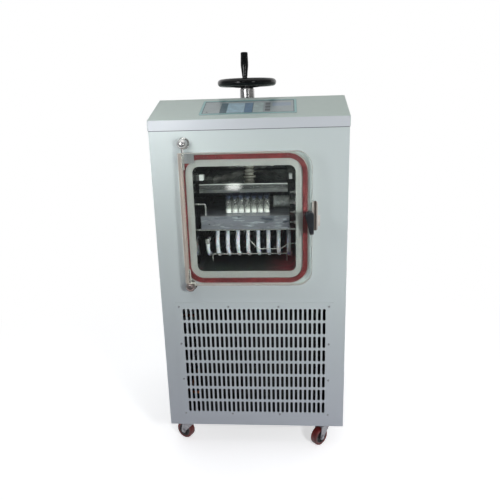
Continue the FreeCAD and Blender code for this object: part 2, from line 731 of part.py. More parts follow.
def rear_panel():
    y0 = CABINET_DEPTH - SHEET
    panel = block(-HALF_WIDTH, HALF_WIDTH, y0, CABINET_DEPTH, 0, LIP_TOP - COVER_SHEET - SHEET)
    cuts = []
    for bank in (-1, 1):
        for index in range(VENT_COUNT):
            x = bank * (VENT_LENGTH + VENT_BANK_GAP) / 2
            z = GRILLE_Z + VENT_RISE + (index - VENT_COUNT / 2) * VENT_PITCH
            cuts.append(block(x - VENT_LENGTH / 2, x + VENT_LENGTH / 2, y0 - 1, CABINET_DEPTH + 1,
                              z, z + VENT_WIDTH))
    cuts.append(rod(VACUUM_PIPE_RADIUS, V(VACUUM_X, y0 - 1, VACUUM_Z), V(VACUUM_X, REAR_MOST, VACUUM_Z)))
    cuts.append(rod(DRAIN_RADIUS, V(DRAIN_X, y0 - 1, DRAIN_Z), V(DRAIN_X, REAR_MOST, DRAIN_Z)))
    cuts.append(block(INLET_X - INLET_WIDTH / 2, INLET_X + INLET_WIDTH / 2, y0 - 1, CABINET_DEPTH + 1,
                      INLET_Z - INLET_HEIGHT / 2, INLET_Z + INLET_HEIGHT / 2))
    return panel.cut(cuts)


def base_tray():
    inside = HALF_WIDTH - SHEET
    return block(-inside, inside, SHEET, CABINET_DEPTH - SHEET, 0, BASE_SHEET)


def cabinet_frame():
    """Welded angle frame: four uprights, a top ring, and two bearers under the chamber."""
    inside = HALF_WIDTH - SHEET
    front = SHEET
    back = CABINET_DEPTH - SHEET
    top = LIP_TOP - LIP_HEIGHT - ANGLE_WALL
    bars = []
    for x in (-inside, inside):
        for y in (front, back):
            x0, x1 = sorted((x, x - math.copysign(ANGLE_LEG, x)))
            xa, xb = sorted((x, x - math.copysign(ANGLE_WALL, x)))
            inward = ANGLE_LEG if y == front else -ANGLE_LEG
            thin = ANGLE_WALL if y == front else -ANGLE_WALL
            y0, y1 = sorted((y, y + inward))
            ya, yb = sorted((y, y + thin))
            bars.append(block(x0, x1, ya, yb, BASE_SHEET, top))
            bars.append(block(xa, xb, y0, y1, BASE_SHEET, top))
    ledge = CHAMBER_FLOOR - CHAMBER_WALL - ANGLE_LEG
    for low in (ledge - ANGLE_LEG, top - ANGLE_LEG):
        for side in (-1, 1):
            xa, xb = sorted((side * inside, side * (inside - ANGLE_WALL)))
            bars.append(block(xa, xb, front, back, low, low + ANGLE_LEG))
        bars.append(block(-inside, inside, back - ANGLE_WALL, back, low, low + ANGLE_LEG))
    bars.append(block(-inside, inside, front, front + ANGLE_WALL, top - ANGLE_LEG, top))
    for side in (-1, 1):
        xa, xb = sorted((side * inside, side * (inside - ANGLE_LEG)))
        bars.append(block(xa, xb, front, back, ledge - ANGLE_WALL, ledge))
    for y in (SHELF_FRONT + ANGLE_LEG, CHAMBER_DEPTH - 2 * ANGLE_LEG):
        bars.append(block(-inside, inside, y, y + ANGLE_LEG, ledge, ledge + ANGLE_WALL))
        bars.append(block(-inside, inside, y, y + ANGLE_WALL, ledge, ledge + ANGLE_LEG))
    return fuse(bars)


# ---- console ------------------------------------------------------------------------------------
def console():
    hole = block(
        DISPLAY_LEFT - DISPLAY_GAP, DISPLAY_RIGHT + DISPLAY_GAP,
        DISPLAY_FRONT - DISPLAY_GAP, DISPLAY_BACK + DISPLAY_GAP, -COVER_SHEET, 2 * COVER_SHEET,
    )
    x0, x1 = CONSOLE_LEFT, CONSOLE_RIGHT
    plate = block(x0, x1, CONSOLE_FRONT, CONSOLE_BACK, 0, CONSOLE_THICK)
    uprights = [edge for edge in plate.Edges if abs(edge.tangentAt(edge.FirstParameter).z) > UPRIGHT]
    panel = plate.makeFillet(CONSOLE_CORNER, uprights).cut(hole)
    display = block(
        DISPLAY_LEFT, DISPLAY_RIGHT, DISPLAY_FRONT, DISPLAY_BACK, -DISPLAY_DEPTH, CONSOLE_THICK - FREE,
    )
    return {"console_overlay": on_slope(panel), "display_module": on_slope(display)}


# ---- chamber ------------------------------------------------------------------------------------
def vacuum_chamber():
    """Stainless weldment: bent shell, rear plate and front flange, with holes for what goes through."""
    mouth = (CHAMBER_LEFT, CHAMBER_RIGHT, CHAMBER_FLOOR, CHAMBER_TOP)
    wall = CHAMBER_WALL
    around = (mouth[0] - wall, mouth[1] + wall, mouth[2] - wall, mouth[3] + wall)
    outer_corners = [CHAMBER_CORNER + wall] * 4
    back = CHAMBER_DEPTH

    def mouth_outline(y):
        return round_rect_wire(*mouth, [CHAMBER_CORNER] * 4, y)

    shell = round_plate(*around, outer_corners, 0, back, [mouth_outline(0)])
    shell = shell.cut([
        rod(PLUNGER_RADIUS + 1, V(PRESS_X, PRESS_Y, CHAMBER_TOP - 1), V(PRESS_X, PRESS_Y, CHAMBER_ROOF + 1)),
        rod(DRAIN_RADIUS - DRAIN_WALL, V(DRAIN_X, DRAIN_Y, CHAMBER_FLOOR - wall - 1),
            V(DRAIN_X, DRAIN_Y, CHAMBER_FLOOR + 1)),
    ])
    bore_start = V(VACUUM_X, back - 1, VACUUM_Z)
    ports = [rod(VACUUM_BORE_RADIUS, bore_start, V(VACUUM_X, back + wall + 1, VACUUM_Z))]
    for tail in coil_tail_starts():
        ports.append(rod(COIL_TUBE_RADIUS, V(tail.x, back - 1, tail.z), V(tail.x, back + wall + 1, tail.z)))
    rear = round_plate(*around, outer_corners, back, back + wall).cut(ports)
    reach = FLANGE_WIDTH
    flange = round_plate(
        mouth[0] - reach, mouth[1] + reach, mouth[2] - reach, mouth[3] + reach,
        [CHAMBER_CORNER + reach] * 4, -FLANGE_THICK, 0, [mouth_outline(-FLANGE_THICK)],
    )
    return Part.makeCompound([shell, rear, flange])


def door_gasket():
    inset = GASKET_INSET
    box = (CHAMBER_LEFT - inset, CHAMBER_RIGHT + inset, CHAMBER_FLOOR - inset, CHAMBER_TOP + inset)
    inner = round_rect_wire(*box, [GASKET_CORNER] * 4, GASKET_FACE)
    grow = GASKET_WIDTH
    return round_plate(
        box[0] - grow, box[1] + grow, box[2] - grow, box[3] + grow,
        [GASKET_CORNER + grow] * 4, GASKET_FACE, -FLANGE_THICK, [inner],
    )


def coil_point(angle):
    """Middle of the tube; each turn lies flat at its front and takes up its pitch at its back."""
    along = COIL_PITCH * (angle - math.sin(angle)) / math.tau
    return V(
        COIL_FIRST_X + along, COIL_Y - COIL_RADIUS * math.cos(angle),
        COIL_Z - COIL_RADIUS * math.sin(angle),
    )


def coil_tail_starts():
    """Where the straight tubes begin: in the elbow on the first turn, at the bottom of the last."""
    return [coil_point(0) + V(0, 0, ELBOW_LENGTH / 2), coil_point(math.tau * COIL_TURNS)]


def condenser_coil():
    """Right-hand coil along x, from the front of its first turn at the left, with its two tails."""
    count = round(COIL_TURNS * COIL_POINTS)
    curve = Part.BSplineCurve()
    curve.interpolate([coil_point(math.tau * step / COIL_POINTS) for step in range(count + 1)])
    knots = curve.getKnots()
    halves = []
    for step in range(0, count, COIL_POINTS // 2):
        half = curve.copy()
        half.segment(knots[step], knots[min(step + COIL_POINTS // 2, count)])
        halves.append(half.toShape())
    front = coil_point(0)
    section = Part.Wire(Part.makeCircle(COIL_TUBE_RADIUS, front, V(0, 0, -1)))
    coil = Part.Wire(halves).makePipeShell([section], True, True)
    first, last = coil_tail_starts()
    elbow = rod(ELBOW_RADIUS, front, front + V(0, 0, ELBOW_LENGTH))
    union_start = last - V(0, UNION_LENGTH / 3, 0)
    union = rod(UNION_RADIUS, union_start, union_start + V(0, UNION_LENGTH, 0))
    tails = []
    for start, fitting in ((first, elbow), (last, union)):
        tube = rod(COIL_TUBE_RADIUS, start, V(start.x, CHAMBER_DEPTH + STUB_LENGTH, start.z))
        tails.append(tube.fuse(fitting).removeSplitter().cut(coil))
    return Part.makeCompound([coil] + tails)


def coil_cradle():
    """Two rods under the turns, each end on a foot that stands on the chamber floor."""
    reach = COIL_RADIUS + COIL_TUBE_RADIUS + CRADLE_ROD_RADIUS + RUNNING
    lean = math.radians(CRADLE_ANGLE)
    length = COIL_TURNS * COIL_PITCH
    first = COIL_FIRST_X + 2 * COIL_TUBE_RADIUS
    last = COIL_FIRST_X + length - 2 * COIL_TUBE_RADIUS
    z = COIL_Z - reach * math.cos(lean)
    bars = []
    for side in (-1, 1):
        y = COIL_Y + side * reach * math.sin(lean)
        bars.append(rod(CRADLE_ROD_RADIUS, V(first, y, z), V(last, y, z)))
        for x in (first, last - CRADLE_FOOT_THICK):
            half = 2 * CRADLE_ROD_RADIUS
            bars.append(block(x, x + CRADLE_FOOT_THICK, y - half, y + half, CHAMBER_FLOOR, z))
    cradle = fuse(bars[:3])
    return Part.makeCompound([cradle, fuse(bars[3:])])


def chamber_fittings():
    """Bearer bars under the shelf, wall studs at the right and the bent probe tube at the left."""
    z = SHELF_BOTTOM - BEARER_RADIUS
    bearers = []
    for y in (SHELF_FRONT + BEARER_FRONT_INSET, SHELF_FRONT + SHELF_DEPTH - BEARER_BACK_INSET):
        bearers.append(rod(BEARER_RADIUS, V(CHAMBER_LEFT, y, z), V(CHAMBER_RIGHT, y, z)))
    studs = []
    for rise in STUD_HEIGHTS:
        start = V(CHAMBER_RIGHT, STUD_Y, SHELF_TOP + rise)
        stem = rod(STUD_RADIUS, start, start + V(-STUD_LENGTH, 0, 0))
        nut = rod(STUD_NUT_RADIUS, start, start + V(-STUD_NUT_LENGTH, 0, 0))
        studs.append(fuse([stem, nut]))
    height = SHELF_TOP + PROBE_RISE
    probe_x = CHAMBER_LEFT + PROBE_REACH
    probe = tube_path(
        [V(CHAMBER_LEFT, PROBE_Y, height), V(probe_x, PROBE_Y, height), V(probe_x, PROBE_Y, SHELF_TOP)],
        PROBE_RADIUS, PROBE_BEND,
    )
    return Part.makeCompound(bearers + studs + [probe])


def sensor_lead():
    """Stiff capillary from the heater mat, down in front of the coil and out to the right wall."""
    top = SHELF_TOP - SHELF_WALL - HEATER_THICK
    low = CHAMBER_FLOOR + LEAD_RISE
    wall_z = CHAMBER_FLOOR + LEAD_WALL_RISE
    y = COIL_FRONT - LEAD_AHEAD
    route = [
        (LEAD_LEFT, top), (LEAD_LEFT + LEAD_LEAN, low + LEAD_KNEE), (LEAD_LEFT + LEAD_KNEE, low),
        (CHAMBER_RIGHT - LEAD_SLANT_START, low), (CHAMBER_RIGHT - LEAD_SLANT_END, wall_z),
        (CHAMBER_RIGHT, wall_z),
    ]
    return tube_path([V(x, y, z) for x, z in route], LEAD_RADIUS, LEAD_BEND)


def folded_box(x0, x1, y0, y1, z0, z1, wall, open_below):
    """Folded and welded sheet box, open below or open at the back."""
    outer = block(x0, x1, y0, y1, z0, z1)
    if open_below:
        inner = block(x0 + wall, x1 - wall, y0 + wall, y1 - wall, z0 - 1, z1 - wall)
    else:
        inner = block(x0 + wall, x1 - wall, y0 + wall, y1 + 1, z0 + wall, z1 - wall)
    return outer.cut(inner)


def shelf():
    x1 = SHELF_LEFT + SHELF_WIDTH
    y1 = SHELF_FRONT + SHELF_DEPTH
    tray = folded_box(SHELF_LEFT, x1, SHELF_FRONT, y1, SHELF_BOTTOM, SHELF_TOP, SHELF_WALL, True)
    hole_x = SHELF_LEFT + SHELF_HOLE_INSET
    hole_z = SHELF_TOP - SHELF_HOLE_INSET
    hole = rod(SHELF_HOLE_RADIUS,
               V(hole_x, SHELF_FRONT - 1, hole_z),
               V(hole_x, SHELF_FRONT + SHELF_WALL + 1, hole_z))
    under = SHELF_TOP - SHELF_WALL
    margin = HEATER_MARGIN
    mat = block(SHELF_LEFT + margin, x1 - margin, SHELF_FRONT + margin, y1 - margin,
                under - HEATER_THICK, under)
    return {"shelf": tray.cut(hole), "shelf_heater": mat}


def shelf_hose():
    """Corrugated stainless hose beside the load, from the shelf's manifold to the right wall."""
    profile = [(0, 0), (HOSE_RADIUS - HOSE_WAVE, 0)]
    pitch = HOSE_LENGTH / HOSE_RIBS
    for rib in range(HOSE_RIBS):
        low = rib * pitch
        for share, rise in HOSE_WAVE_SHARES:
            profile.append((HOSE_RADIUS - HOSE_WAVE * (1 - rise), low + pitch * share))
    profile.append((HOSE_RADIUS - HOSE_WAVE, HOSE_LENGTH))
    profile.append((HOSE_TAIL_RADIUS, HOSE_LENGTH))
    profile.append((HOSE_TAIL_RADIUS, CHAMBER_RIGHT - HOSE_LEFT))
    profile.append((0, CHAMBER_RIGHT - HOSE_LEFT))
    start = V(HOSE_LEFT, HOSE_Y, SHELF_TOP + HOSE_RADIUS)
    return turned(profile, start, X_AXIS)


def vial_load():
    """Rows of vials on the shelf, each with a dried cake and a stopper set half way in."""
    wall = VIAL_WALL
    neck_low = VIAL_HEIGHT - VIAL_LIP_HEIGHT
    shoulder = VIAL_BODY_HEIGHT + 4
    glass = [
        (0, 0), (VIAL_RADIUS, 0), (VIAL_RADIUS, VIAL_BODY_HEIGHT), (VIAL_NECK_RADIUS, shoulder),
        (VIAL_NECK_RADIUS, neck_low), (VIAL_LIP_RADIUS, neck_low), (VIAL_LIP_RADIUS, VIAL_HEIGHT),
        (VIAL_NECK_RADIUS - wall, VIAL_HEIGHT), (VIAL_NECK_RADIUS - wall, shoulder),
        (VIAL_RADIUS - wall, VIAL_BODY_HEIGHT), (VIAL_RADIUS - wall, wall), (0, wall),
    ]
    plug = VIAL_NECK_RADIUS - wall - STOPPER_FIT
    low = VIAL_HEIGHT - STOPPER_PLUG_DEPTH
    cap = VIAL_HEIGHT + STOPPER_RAISED
    stopper = [
        (0, low), (plug, low), (plug, cap), (STOPPER_FLANGE_RADIUS, cap),
        (STOPPER_FLANGE_RADIUS, cap + STOPPER_FLANGE_THICK), (0, cap + STOPPER_FLANGE_THICK),
    ]
    vials, cakes, stoppers = [], [], []
    for row in range(VIAL_ROWS):
        for column in range(VIAL_COLUMNS):
            foot = V(VIAL_FIRST_X + column * VIAL_PITCH, VIAL_FIRST_Y + row * VIAL_PITCH, SHELF_TOP)
            vials.append(turned(glass, foot))
            cake = Part.makeCylinder(VIAL_RADIUS - wall - STOPPER_FIT, CAKE_HEIGHT, foot + V(0, 0, wall))
            cakes.append(cake)
            stoppers.append(turned(stopper, foot))
    return {
        "vials": Part.makeCompound(vials),
        "dried_cakes": Part.makeCompound(cakes),
        "vial_stoppers": Part.makeCompound(stoppers),
    }


# ---- stoppering press ---------------------------------------------------------------------------
def press_column():
    """Fixed sleeve from the chamber roof up through the cover; it guides the plunger."""
    shoulder = COLUMN_SHOULDER
    bore = PLUNGER_RADIUS + RUNNING
    journal = SCREW_RADIUS + RUNNING
    foot_top = CHAMBER_ROOF + COLUMN_FOOT_THICK
    profile = [
        (bore, CHAMBER_ROOF), (COLUMN_FOOT_RADIUS, CHAMBER_ROOF), (COLUMN_FOOT_RADIUS, foot_top),
        (COLUMN_RADIUS, foot_top), (COLUMN_RADIUS, COLUMN_TOP - 1), (COLUMN_RADIUS - 1, COLUMN_TOP),
        (journal, COLUMN_TOP), (journal, shoulder), (bore, shoulder),
    ]
    return turned(profile, V(PRESS_X, PRESS_Y, 0))


def plunger():
    """Round ram with two beads above its foot and a long tapped hole for the press screw."""
    r = PLUNGER_RADIUS
    depth = SCREW_END - PRESS_TRAVEL - SCREW_TIP_ROOM
    bead = PLUNGER_BEAD
    foot = r + PLUNGER_FOOT_LIP
    neck = r - PLUNGER_NECK
    step = PLUNGER_STEP
    low = PLATE_TOP + 2 * PLUNGER_FOOT_THICK
    profile = [
        (0, PLATE_TOP), (foot, PLATE_TOP), (foot, PLATE_TOP + PLUNGER_FOOT_THICK), (neck, low),
        (r + bead, low + step), (r + bead, low + 2 * step), (neck, low + 3 * step),
        (r + bead, low + 4 * step), (r + bead, low + 5 * step), (r, low + 6 * step),
        (r, PLUNGER_TOP), (SCREW_RADIUS + RUNNING, PLUNGER_TOP), (SCREW_RADIUS + RUNNING, depth),
        (0, depth),
    ]
    return turned(profile, V(PRESS_X, PRESS_Y, 0))


def press_screw():
    """Screw that hangs from its collar under the column's shoulder and is keyed in the hub."""
    collar_top = COLUMN_SHOULDER - FREE
    profile = [
        (0, SCREW_END), (SCREW_RADIUS - 1, SCREW_END), (SCREW_RADIUS, SCREW_END + 1),
        (SCREW_RADIUS, collar_top - SCREW_COLLAR_THICK),
        (SCREW_COLLAR_RADIUS, collar_top - SCREW_COLLAR_THICK), (SCREW_COLLAR_RADIUS, collar_top),
        (SCREW_RADIUS, collar_top), (SCREW_RADIUS, COLUMN_TOP + FREE + HUB_HEIGHT),
        (0, COLUMN_TOP + FREE + HUB_HEIGHT),
    ]
    return turned(profile, V(PRESS_X, PRESS_Y, 0))


def handwheel():
    """Dished wheel: round rim, straight spokes rising from a low hub."""
    ring_radius = WHEEL_OUTER - RIM_RADIUS
    hub_low = COLUMN_TOP + FREE
    parts = [
        Part.makeTorus(ring_radius, RIM_RADIUS, V(0, 0, RIM_Z)),
        turned([(0, hub_low), (HUB_RADIUS, hub_low), (HUB_RADIUS, hub_low + HUB_HEIGHT - HUB_CHAMFER),
                (HUB_RADIUS - HUB_CHAMFER, hub_low + HUB_HEIGHT), (0, hub_low + HUB_HEIGHT)],
               V(0, 0, 0)),
    ]
    for index in range(SPOKE_COUNT):
        turn = math.radians(90 + index * 360 / SPOKE_COUNT)
        along = V(math.cos(turn), math.sin(turn), 0)
        root = along * (HUB_RADIUS - SPOKE_ROOT) + V(0, 0, hub_low + SPOKE_RADIUS + SPOKE_SINK)
        tip = along * (ring_radius - SPOKE_SINK) + V(0, 0, RIM_Z - SPOKE_SINK)
        parts.append(rod(SPOKE_RADIUS, root, tip))
    wheel = fuse(parts)
    bore = rod(SCREW_RADIUS, V(0, 0, hub_low - 1), V(0, 0, hub_low + HUB_HEIGHT + 1))
    tapped = rod(CRANK_PIN_RADIUS, V(0, -ring_radius, RIM_Z), V(0, -ring_radius, RIM_Z + 2 * RIM_RADIUS))
    wheel = wheel.cut([bore, tapped])
    wheel.translate(V(PRESS_X, PRESS_Y, 0))
    return wheel


def hub_nut():
    low = COLUMN_TOP + FREE + HUB_HEIGHT
    corners = []
    for index in range(HUB_NUT_SIDES + 1):
        turn = math.radians(360 / HUB_NUT_SIDES * index)
        corners.append(V(HUB_NUT_RADIUS * math.cos(turn), HUB_NUT_RADIUS * math.sin(turn), 0))
    nut = Part.Face(Part.makePolygon(corners)).extrude(V(0, 0, HUB_NUT_HEIGHT))
    nut.translate(V(PRESS_X, PRESS_Y, low))
    return nut


def crank_foot():
    """Where the crank pin's collar meets the grip: on the near side of the rim, above its crown."""
    return V(PRESS_X, PRESS_Y - WHEEL_OUTER + RIM_RADIUS, RIM_Z + RIM_RADIUS + CRANK_COLLAR_THICK)


def crank_pin():
    below = RIM_RADIUS + CRANK_COLLAR_THICK
    collar_low = -CRANK_COLLAR_THICK
    profile = [
        (0, -below), (CRANK_PIN_RADIUS, -below), (CRANK_PIN_RADIUS, collar_low),
        (CRANK_COLLAR_RADIUS, collar_low), (CRANK_COLLAR_RADIUS, 0), (CRANK_PIN_RADIUS, 0),
        (CRANK_PIN_RADIUS, GRIP_LENGTH - GRIP_CROWN), (0, GRIP_LENGTH - GRIP_CROWN),
    ]
    pin = turned(profile, crank_foot())
    saddle = Part.makeTorus(WHEEL_OUTER - RIM_RADIUS, RIM_RADIUS, V(PRESS_X, PRESS_Y, RIM_Z))
    core = rod(CRANK_PIN_RADIUS, crank_foot() + V(0, 0, -below), crank_foot())
    return pin.cut(saddle.cut(core))


def crank_grip():
    """Slim grip, thickest below its middle, with a flat rounded head; it turns on the crank pin."""
    foot = GRIP_FOOT_RADIUS
    head = GRIP_HEAD_RADIUS
    corner = GRIP_HEAD_ROUND
    length = GRIP_LENGTH
    toe = V(foot - GRIP_FOOT_ROUND, 0, FREE)
    heel = V(foot, 0, GRIP_FOOT_RISE)
    shoulder = V(head, 0, length - corner)
    crown = V(head - corner, 0, length)
    bulge = corner * (1 - math.sqrt(0.5))
    flank = Part.BSplineCurve()
    flank.interpolate([heel] + [V(radius, 0, height) for radius, height in GRIP_FLANK] + [shoulder])
    edges = [
        Part.LineSegment(V(0, 0, FREE), toe).toShape(),
        Part.Arc(toe, V(foot - GRIP_FOOT_BULGE, 0, 2 * GRIP_FOOT_BULGE), heel).toShape(),
        flank.toShape(),
        Part.Arc(shoulder, V(head - bulge, 0, length - bulge), crown).toShape(),
        Part.LineSegment(crown, V(0, 0, length)).toShape(),
        Part.LineSegment(V(0, 0, length), V(0, 0, FREE)).toShape(),
    ]
    body = Part.Face(Part.Wire(edges)).revolve(V(0, 0, 0), Z_AXIS, 360)
    bore = rod(CRANK_PIN_RADIUS + RUNNING, V(0, 0, -1), V(0, 0, length - GRIP_CROWN + GRIP_END_PLAY))
    body = body.cut(bore)
    body.translate(crank_foot())
    return body


def plate_guides():
    """Nylon blocks on the side walls, just above the raised press plate's two ends."""
    low = PLATE_TOP + GUIDE_ABOVE_PLATE
    spans = (
        (CHAMBER_LEFT, CHAMBER_LEFT + GUIDE_LEFT_REACH),
        (CHAMBER_RIGHT - GUIDE_RIGHT_REACH, CHAMBER_RIGHT),
    )
    guides = []
    for left, right in spans:
        guide = block(left, right, GUIDE_FRONT, GUIDE_FRONT + GUIDE_DEPTH, low, low + GUIDE_HEIGHT)
        along = [edge for edge in guide.Edges if edge.BoundBox.YLength > GUIDE_DEPTH / 2]
        guides.append(guide.makeChamfer(GUIDE_CHAMFER, along))
    return Part.makeCompound(guides)


def press_plate():
    """Folded box under the ram, open at the back."""
    return folded_box(
        CHAMBER_LEFT + PLATE_GAP_LEFT, CHAMBER_RIGHT - PLATE_GAP_RIGHT, PLATE_FRONT,
        CHAMBER_DEPTH - PLATE_GAP_BACK, PLATE_BOTTOM, PLATE_TOP, SHELF_WALL, False,
    )


# ---- door ---------------------------------------------------------------------------------------
def edge_profile(inset, right):
    """Plan outline of the door's back-left edge, a half round about the hinge pin, drawn inset."""
    back = DOOR_BACK - inset
    radius = DOOR_THICK / 2 - inset
    slope = radius * math.sqrt(0.5)
    return (
        V(right, back, 0), V(HINGE_X, back, 0), V(HINGE_X - slope, HINGE_Y + slope, 0),
        V(HINGE_X - radius, HINGE_Y, 0),
    )


def corner_plate():
    """Thin stainless plate let into the door's upper hinge corner, bent round its edge."""
    right = DOOR_LEFT + CORNER_PLATE_WIDTH
    outer = edge_profile(0, right)
    inner = edge_profile(CORNER_PLATE_THICK, right)
    edges = [
        Part.LineSegment(outer[0], outer[1]).toShape(),
        Part.Arc(outer[1], outer[2], outer[3]).toShape(),
        Part.LineSegment(outer[3], inner[3]).toShape(),
        Part.Arc(inner[3], inner[2], inner[1]).toShape(),
        Part.LineSegment(inner[1], inner[0]).toShape(),
        Part.LineSegment(inner[0], outer[0]).toShape(),
    ]
    plate = Part.Face(Part.Wire(edges)).extrude(V(0, 0, CORNER_PLATE_HEIGHT))
    plate.translate(V(0, 0, DOOR_TOP - CORNER_PLATE_HEIGHT))
    return plate


def door_plate(plate):
    """Clear slab: half-round hinge edge, pin bores, a notch for the lower post, the latch bore."""
    slab = round_plate(
        HINGE_X - DOOR_CORNER, DOOR_RIGHT, DOOR_BOTTOM, DOOR_TOP, [DOOR_CORNER] * 4,
        DOOR_FRONT, DOOR_BACK,
    )
    outlines = [edge for edge in slab.Edges if edge.BoundBox.YLength < DOOR_THICK / 2]
    slab = slab.makeChamfer(DOOR_CHAMFER, outlines)
    beyond = block(HINGE_X - 2 * DOOR_CORNER, HINGE_X, DOOR_FRONT, DOOR_BACK, DOOR_BOTTOM, DOOR_TOP)
    edge = rod(DOOR_THICK / 2, V(HINGE_X, HINGE_Y, DOOR_BOTTOM), V(HINGE_X, HINGE_Y, DOOR_TOP))
    ends = [ring for ring in edge.Edges if ring.BoundBox.ZLength < DOOR_CHAMFER]
    edge = edge.makeChamfer(DOOR_CHAMFER, ends)
    door = slab.cut(beyond).fuse(edge).removeSplitter()
    notch_reach = POST_RADIUS + NOTCH_GAP
    bore = HINGE_PIN_RADIUS + RUNNING
    cuts = [
        block(DOOR_LEFT - 1, HINGE_X + notch_reach + NOTCH_GAP, DOOR_FRONT - 1, DOOR_BACK + 1,
              DOOR_BOTTOM - 1, LOWER_POST_Z + notch_reach),
        rod(bore, V(HINGE_X, HINGE_Y, DOOR_BOTTOM), V(HINGE_X, HINGE_Y, LOWER_PIN_END + FREE)),
        rod(bore, V(HINGE_X, HINGE_Y, UPPER_PIN_END - FREE), V(HINGE_X, HINGE_Y, DOOR_TOP + 1)),
        rod(LATCH_SHAFT_RADIUS, V(LATCH_X, DOOR_FRONT - 1, LATCH_Z), V(LATCH_X, DOOR_BACK + 1, LATCH_Z)),
        plate,
    ]
    return door.cut(cuts)


def hinge_post(z, pin_end):
    """Domed post on the front sheet, cross-drilled for its upright pin."""
    radius = POST_RADIUS
    shoulder = POST_REACH - POST_DOME
    foot = radius + 3
    edges = [
        Part.LineSegment(V(0, 0, 0), V(foot, 0, 0)).toShape(),
        Part.LineSegment(V(foot, 0, 0), V(foot, 0, POST_FOOT)).toShape(),
        Part.LineSegment(V(foot, 0, POST_FOOT), V(radius, 0, POST_FOOT)).toShape(),
        Part.LineSegment(V(radius, 0, POST_FOOT), V(radius, 0, shoulder)).toShape(),
        cap_arc(radius, shoulder, POST_REACH),
        Part.LineSegment(V(0, 0, POST_REACH), V(0, 0, 0)).toShape(),
    ]
    post = Part.Face(Part.Wire(edges)).revolve(V(0, 0, 0), Z_AXIS, 360)
    post.Placement = FreeCAD.Placement(V(HINGE_X, 0, z), FreeCAD.Rotation(X_AXIS, 90))
    far = z + math.copysign(PIN_PAST_POST, z - pin_end)
    pin = rod(HINGE_PIN_RADIUS, V(HINGE_X, HINGE_Y, far), V(HINGE_X, HINGE_Y, pin_end))
    return post.cut(pin), pin


# ---- latch --------------------------------------------------------------------------------------
def latch():
    """Black lever on the door face, and its shaft through the door with the tongue behind it."""
    hub = LATCH_HUB_RADIUS
    end = LATCH_END_RADIUS
    run = math.hypot(LATCH_END_X, LATCH_END_DROP)
    lean = math.atan2(LATCH_END_X, LATCH_END_DROP)
    open_angle = math.asin((hub - end) / run)
    right = V(math.cos(open_angle), math.sin(open_angle), 0)
    left = V(-right.x, right.y, 0)
    low = V(0, -run, 0)
    edges = [
        Part.Arc(right * hub, V(0, hub, 0), left * hub).toShape(),
        Part.LineSegment(left * hub, low + left * end).toShape(),
        Part.Arc(low + left * end, low + V(0, -end, 0), low + right * end).toShape(),
        Part.LineSegment(low + right * end, right * hub).toShape(),
    ]
    grip = Part.Face(Part.Wire(edges)).extrude(V(0, 0, LATCH_DEPTH))
    front_edges = [edge for edge in grip.Edges if edge.CenterOfMass.z > LATCH_DEPTH - TINY]
    grip = grip.makeFillet(LATCH_EDGE_ROUND, front_edges)
    boss = Part.makeCylinder(LATCH_BOSS_RADIUS, LATCH_STANDOFF - FREE, V(0, 0, -LATCH_STANDOFF + FREE))
    grip = grip.fuse(boss).removeSplitter()
    grip.rotate(V(0, 0, 0), Z_AXIS, math.degrees(lean))
    grip.Placement = FreeCAD.Placement(
        V(LATCH_X, LATCH_BACK, LATCH_Z), FreeCAD.Rotation(X_AXIS, 90)
    ).multiply(grip.Placement)
    back = TONGUE_FRONT + TONGUE_THICK
    shaft = rod(LATCH_SHAFT_RADIUS - RUNNING, V(LATCH_X, LATCH_BACK - LATCH_SHAFT_SINK, LATCH_Z),
                V(LATCH_X, back, LATCH_Z))
    half = TONGUE_WIDTH / 2
    tongue = block(LATCH_X - half, LATCH_X + half, TONGUE_FRONT, back, LATCH_Z - TONGUE_REACH, LATCH_Z)
    eye = rod(half, V(LATCH_X, TONGUE_FRONT, LATCH_Z), V(LATCH_X, back, LATCH_Z))
    return {
        "latch_lever": grip.cut(shaft),
        "latch_shaft": fuse([shaft, tongue, eye]),
    }


def latch_keeper():
    """Upright bar held off the front sheet by its foot, whose ear is screwed down beside the bar."""
    half = KEEPER_WIDTH / 2
    rise = KEEPER_LENGTH / 2
    radius = half - TINY
    bar = round_plate(KEEPER_X - half, KEEPER_X + half, KEEPER_Z - rise, KEEPER_Z + rise,
                      [radius] * 4, -KEEPER_DEPTH, KEEPER_BACK)
    face_edges = [edge for edge in bar.Edges if edge.CenterOfMass.y < -KEEPER_DEPTH + TINY]
    bar = bar.makeFillet(KEEPER_ROUND, face_edges)
    groove_end = rise - KEEPER_GROOVE_END
    groove = block(KEEPER_X - KEEPER_GROOVE / 2, KEEPER_X + KEEPER_GROOVE / 2,
                   -KEEPER_DEPTH - 1, -KEEPER_DEPTH + KEEPER_GROOVE / 2,
                   KEEPER_Z - groove_end, KEEPER_Z + groove_end)
    foot = block(LATCH_X + TONGUE_REACH + KEEPER_FOOT_GAP, KEEPER_X + half - KEEPER_FOOT_GAP,
                 KEEPER_BACK, 0, KEEPER_Z - groove_end, KEEPER_Z + groove_end)
    edge = KEEPER_X + half - KEEPER_FOOT_GAP
    ear = block(edge, KEEPER_X + half + KEEPER_EAR_WIDTH, -KEEPER_EAR_THICK, 0,
                KEEPER_Z - KEEPER_EAR_HEIGHT, KEEPER_Z)
    head = V(KEEPER_X + half + KEEPER_EAR_WIDTH / 2, -KEEPER_EAR_THICK, KEEPER_Z - KEEPER_SCREW_DROP)
    screw = rod(KEEPER_SCREW_RADIUS, head, head + V(0, -KEEPER_SCREW_HEIGHT, 0))
    return Part.makeCompound([bar.cut(groove), screw, foot.fuse(ear).removeSplitter()])


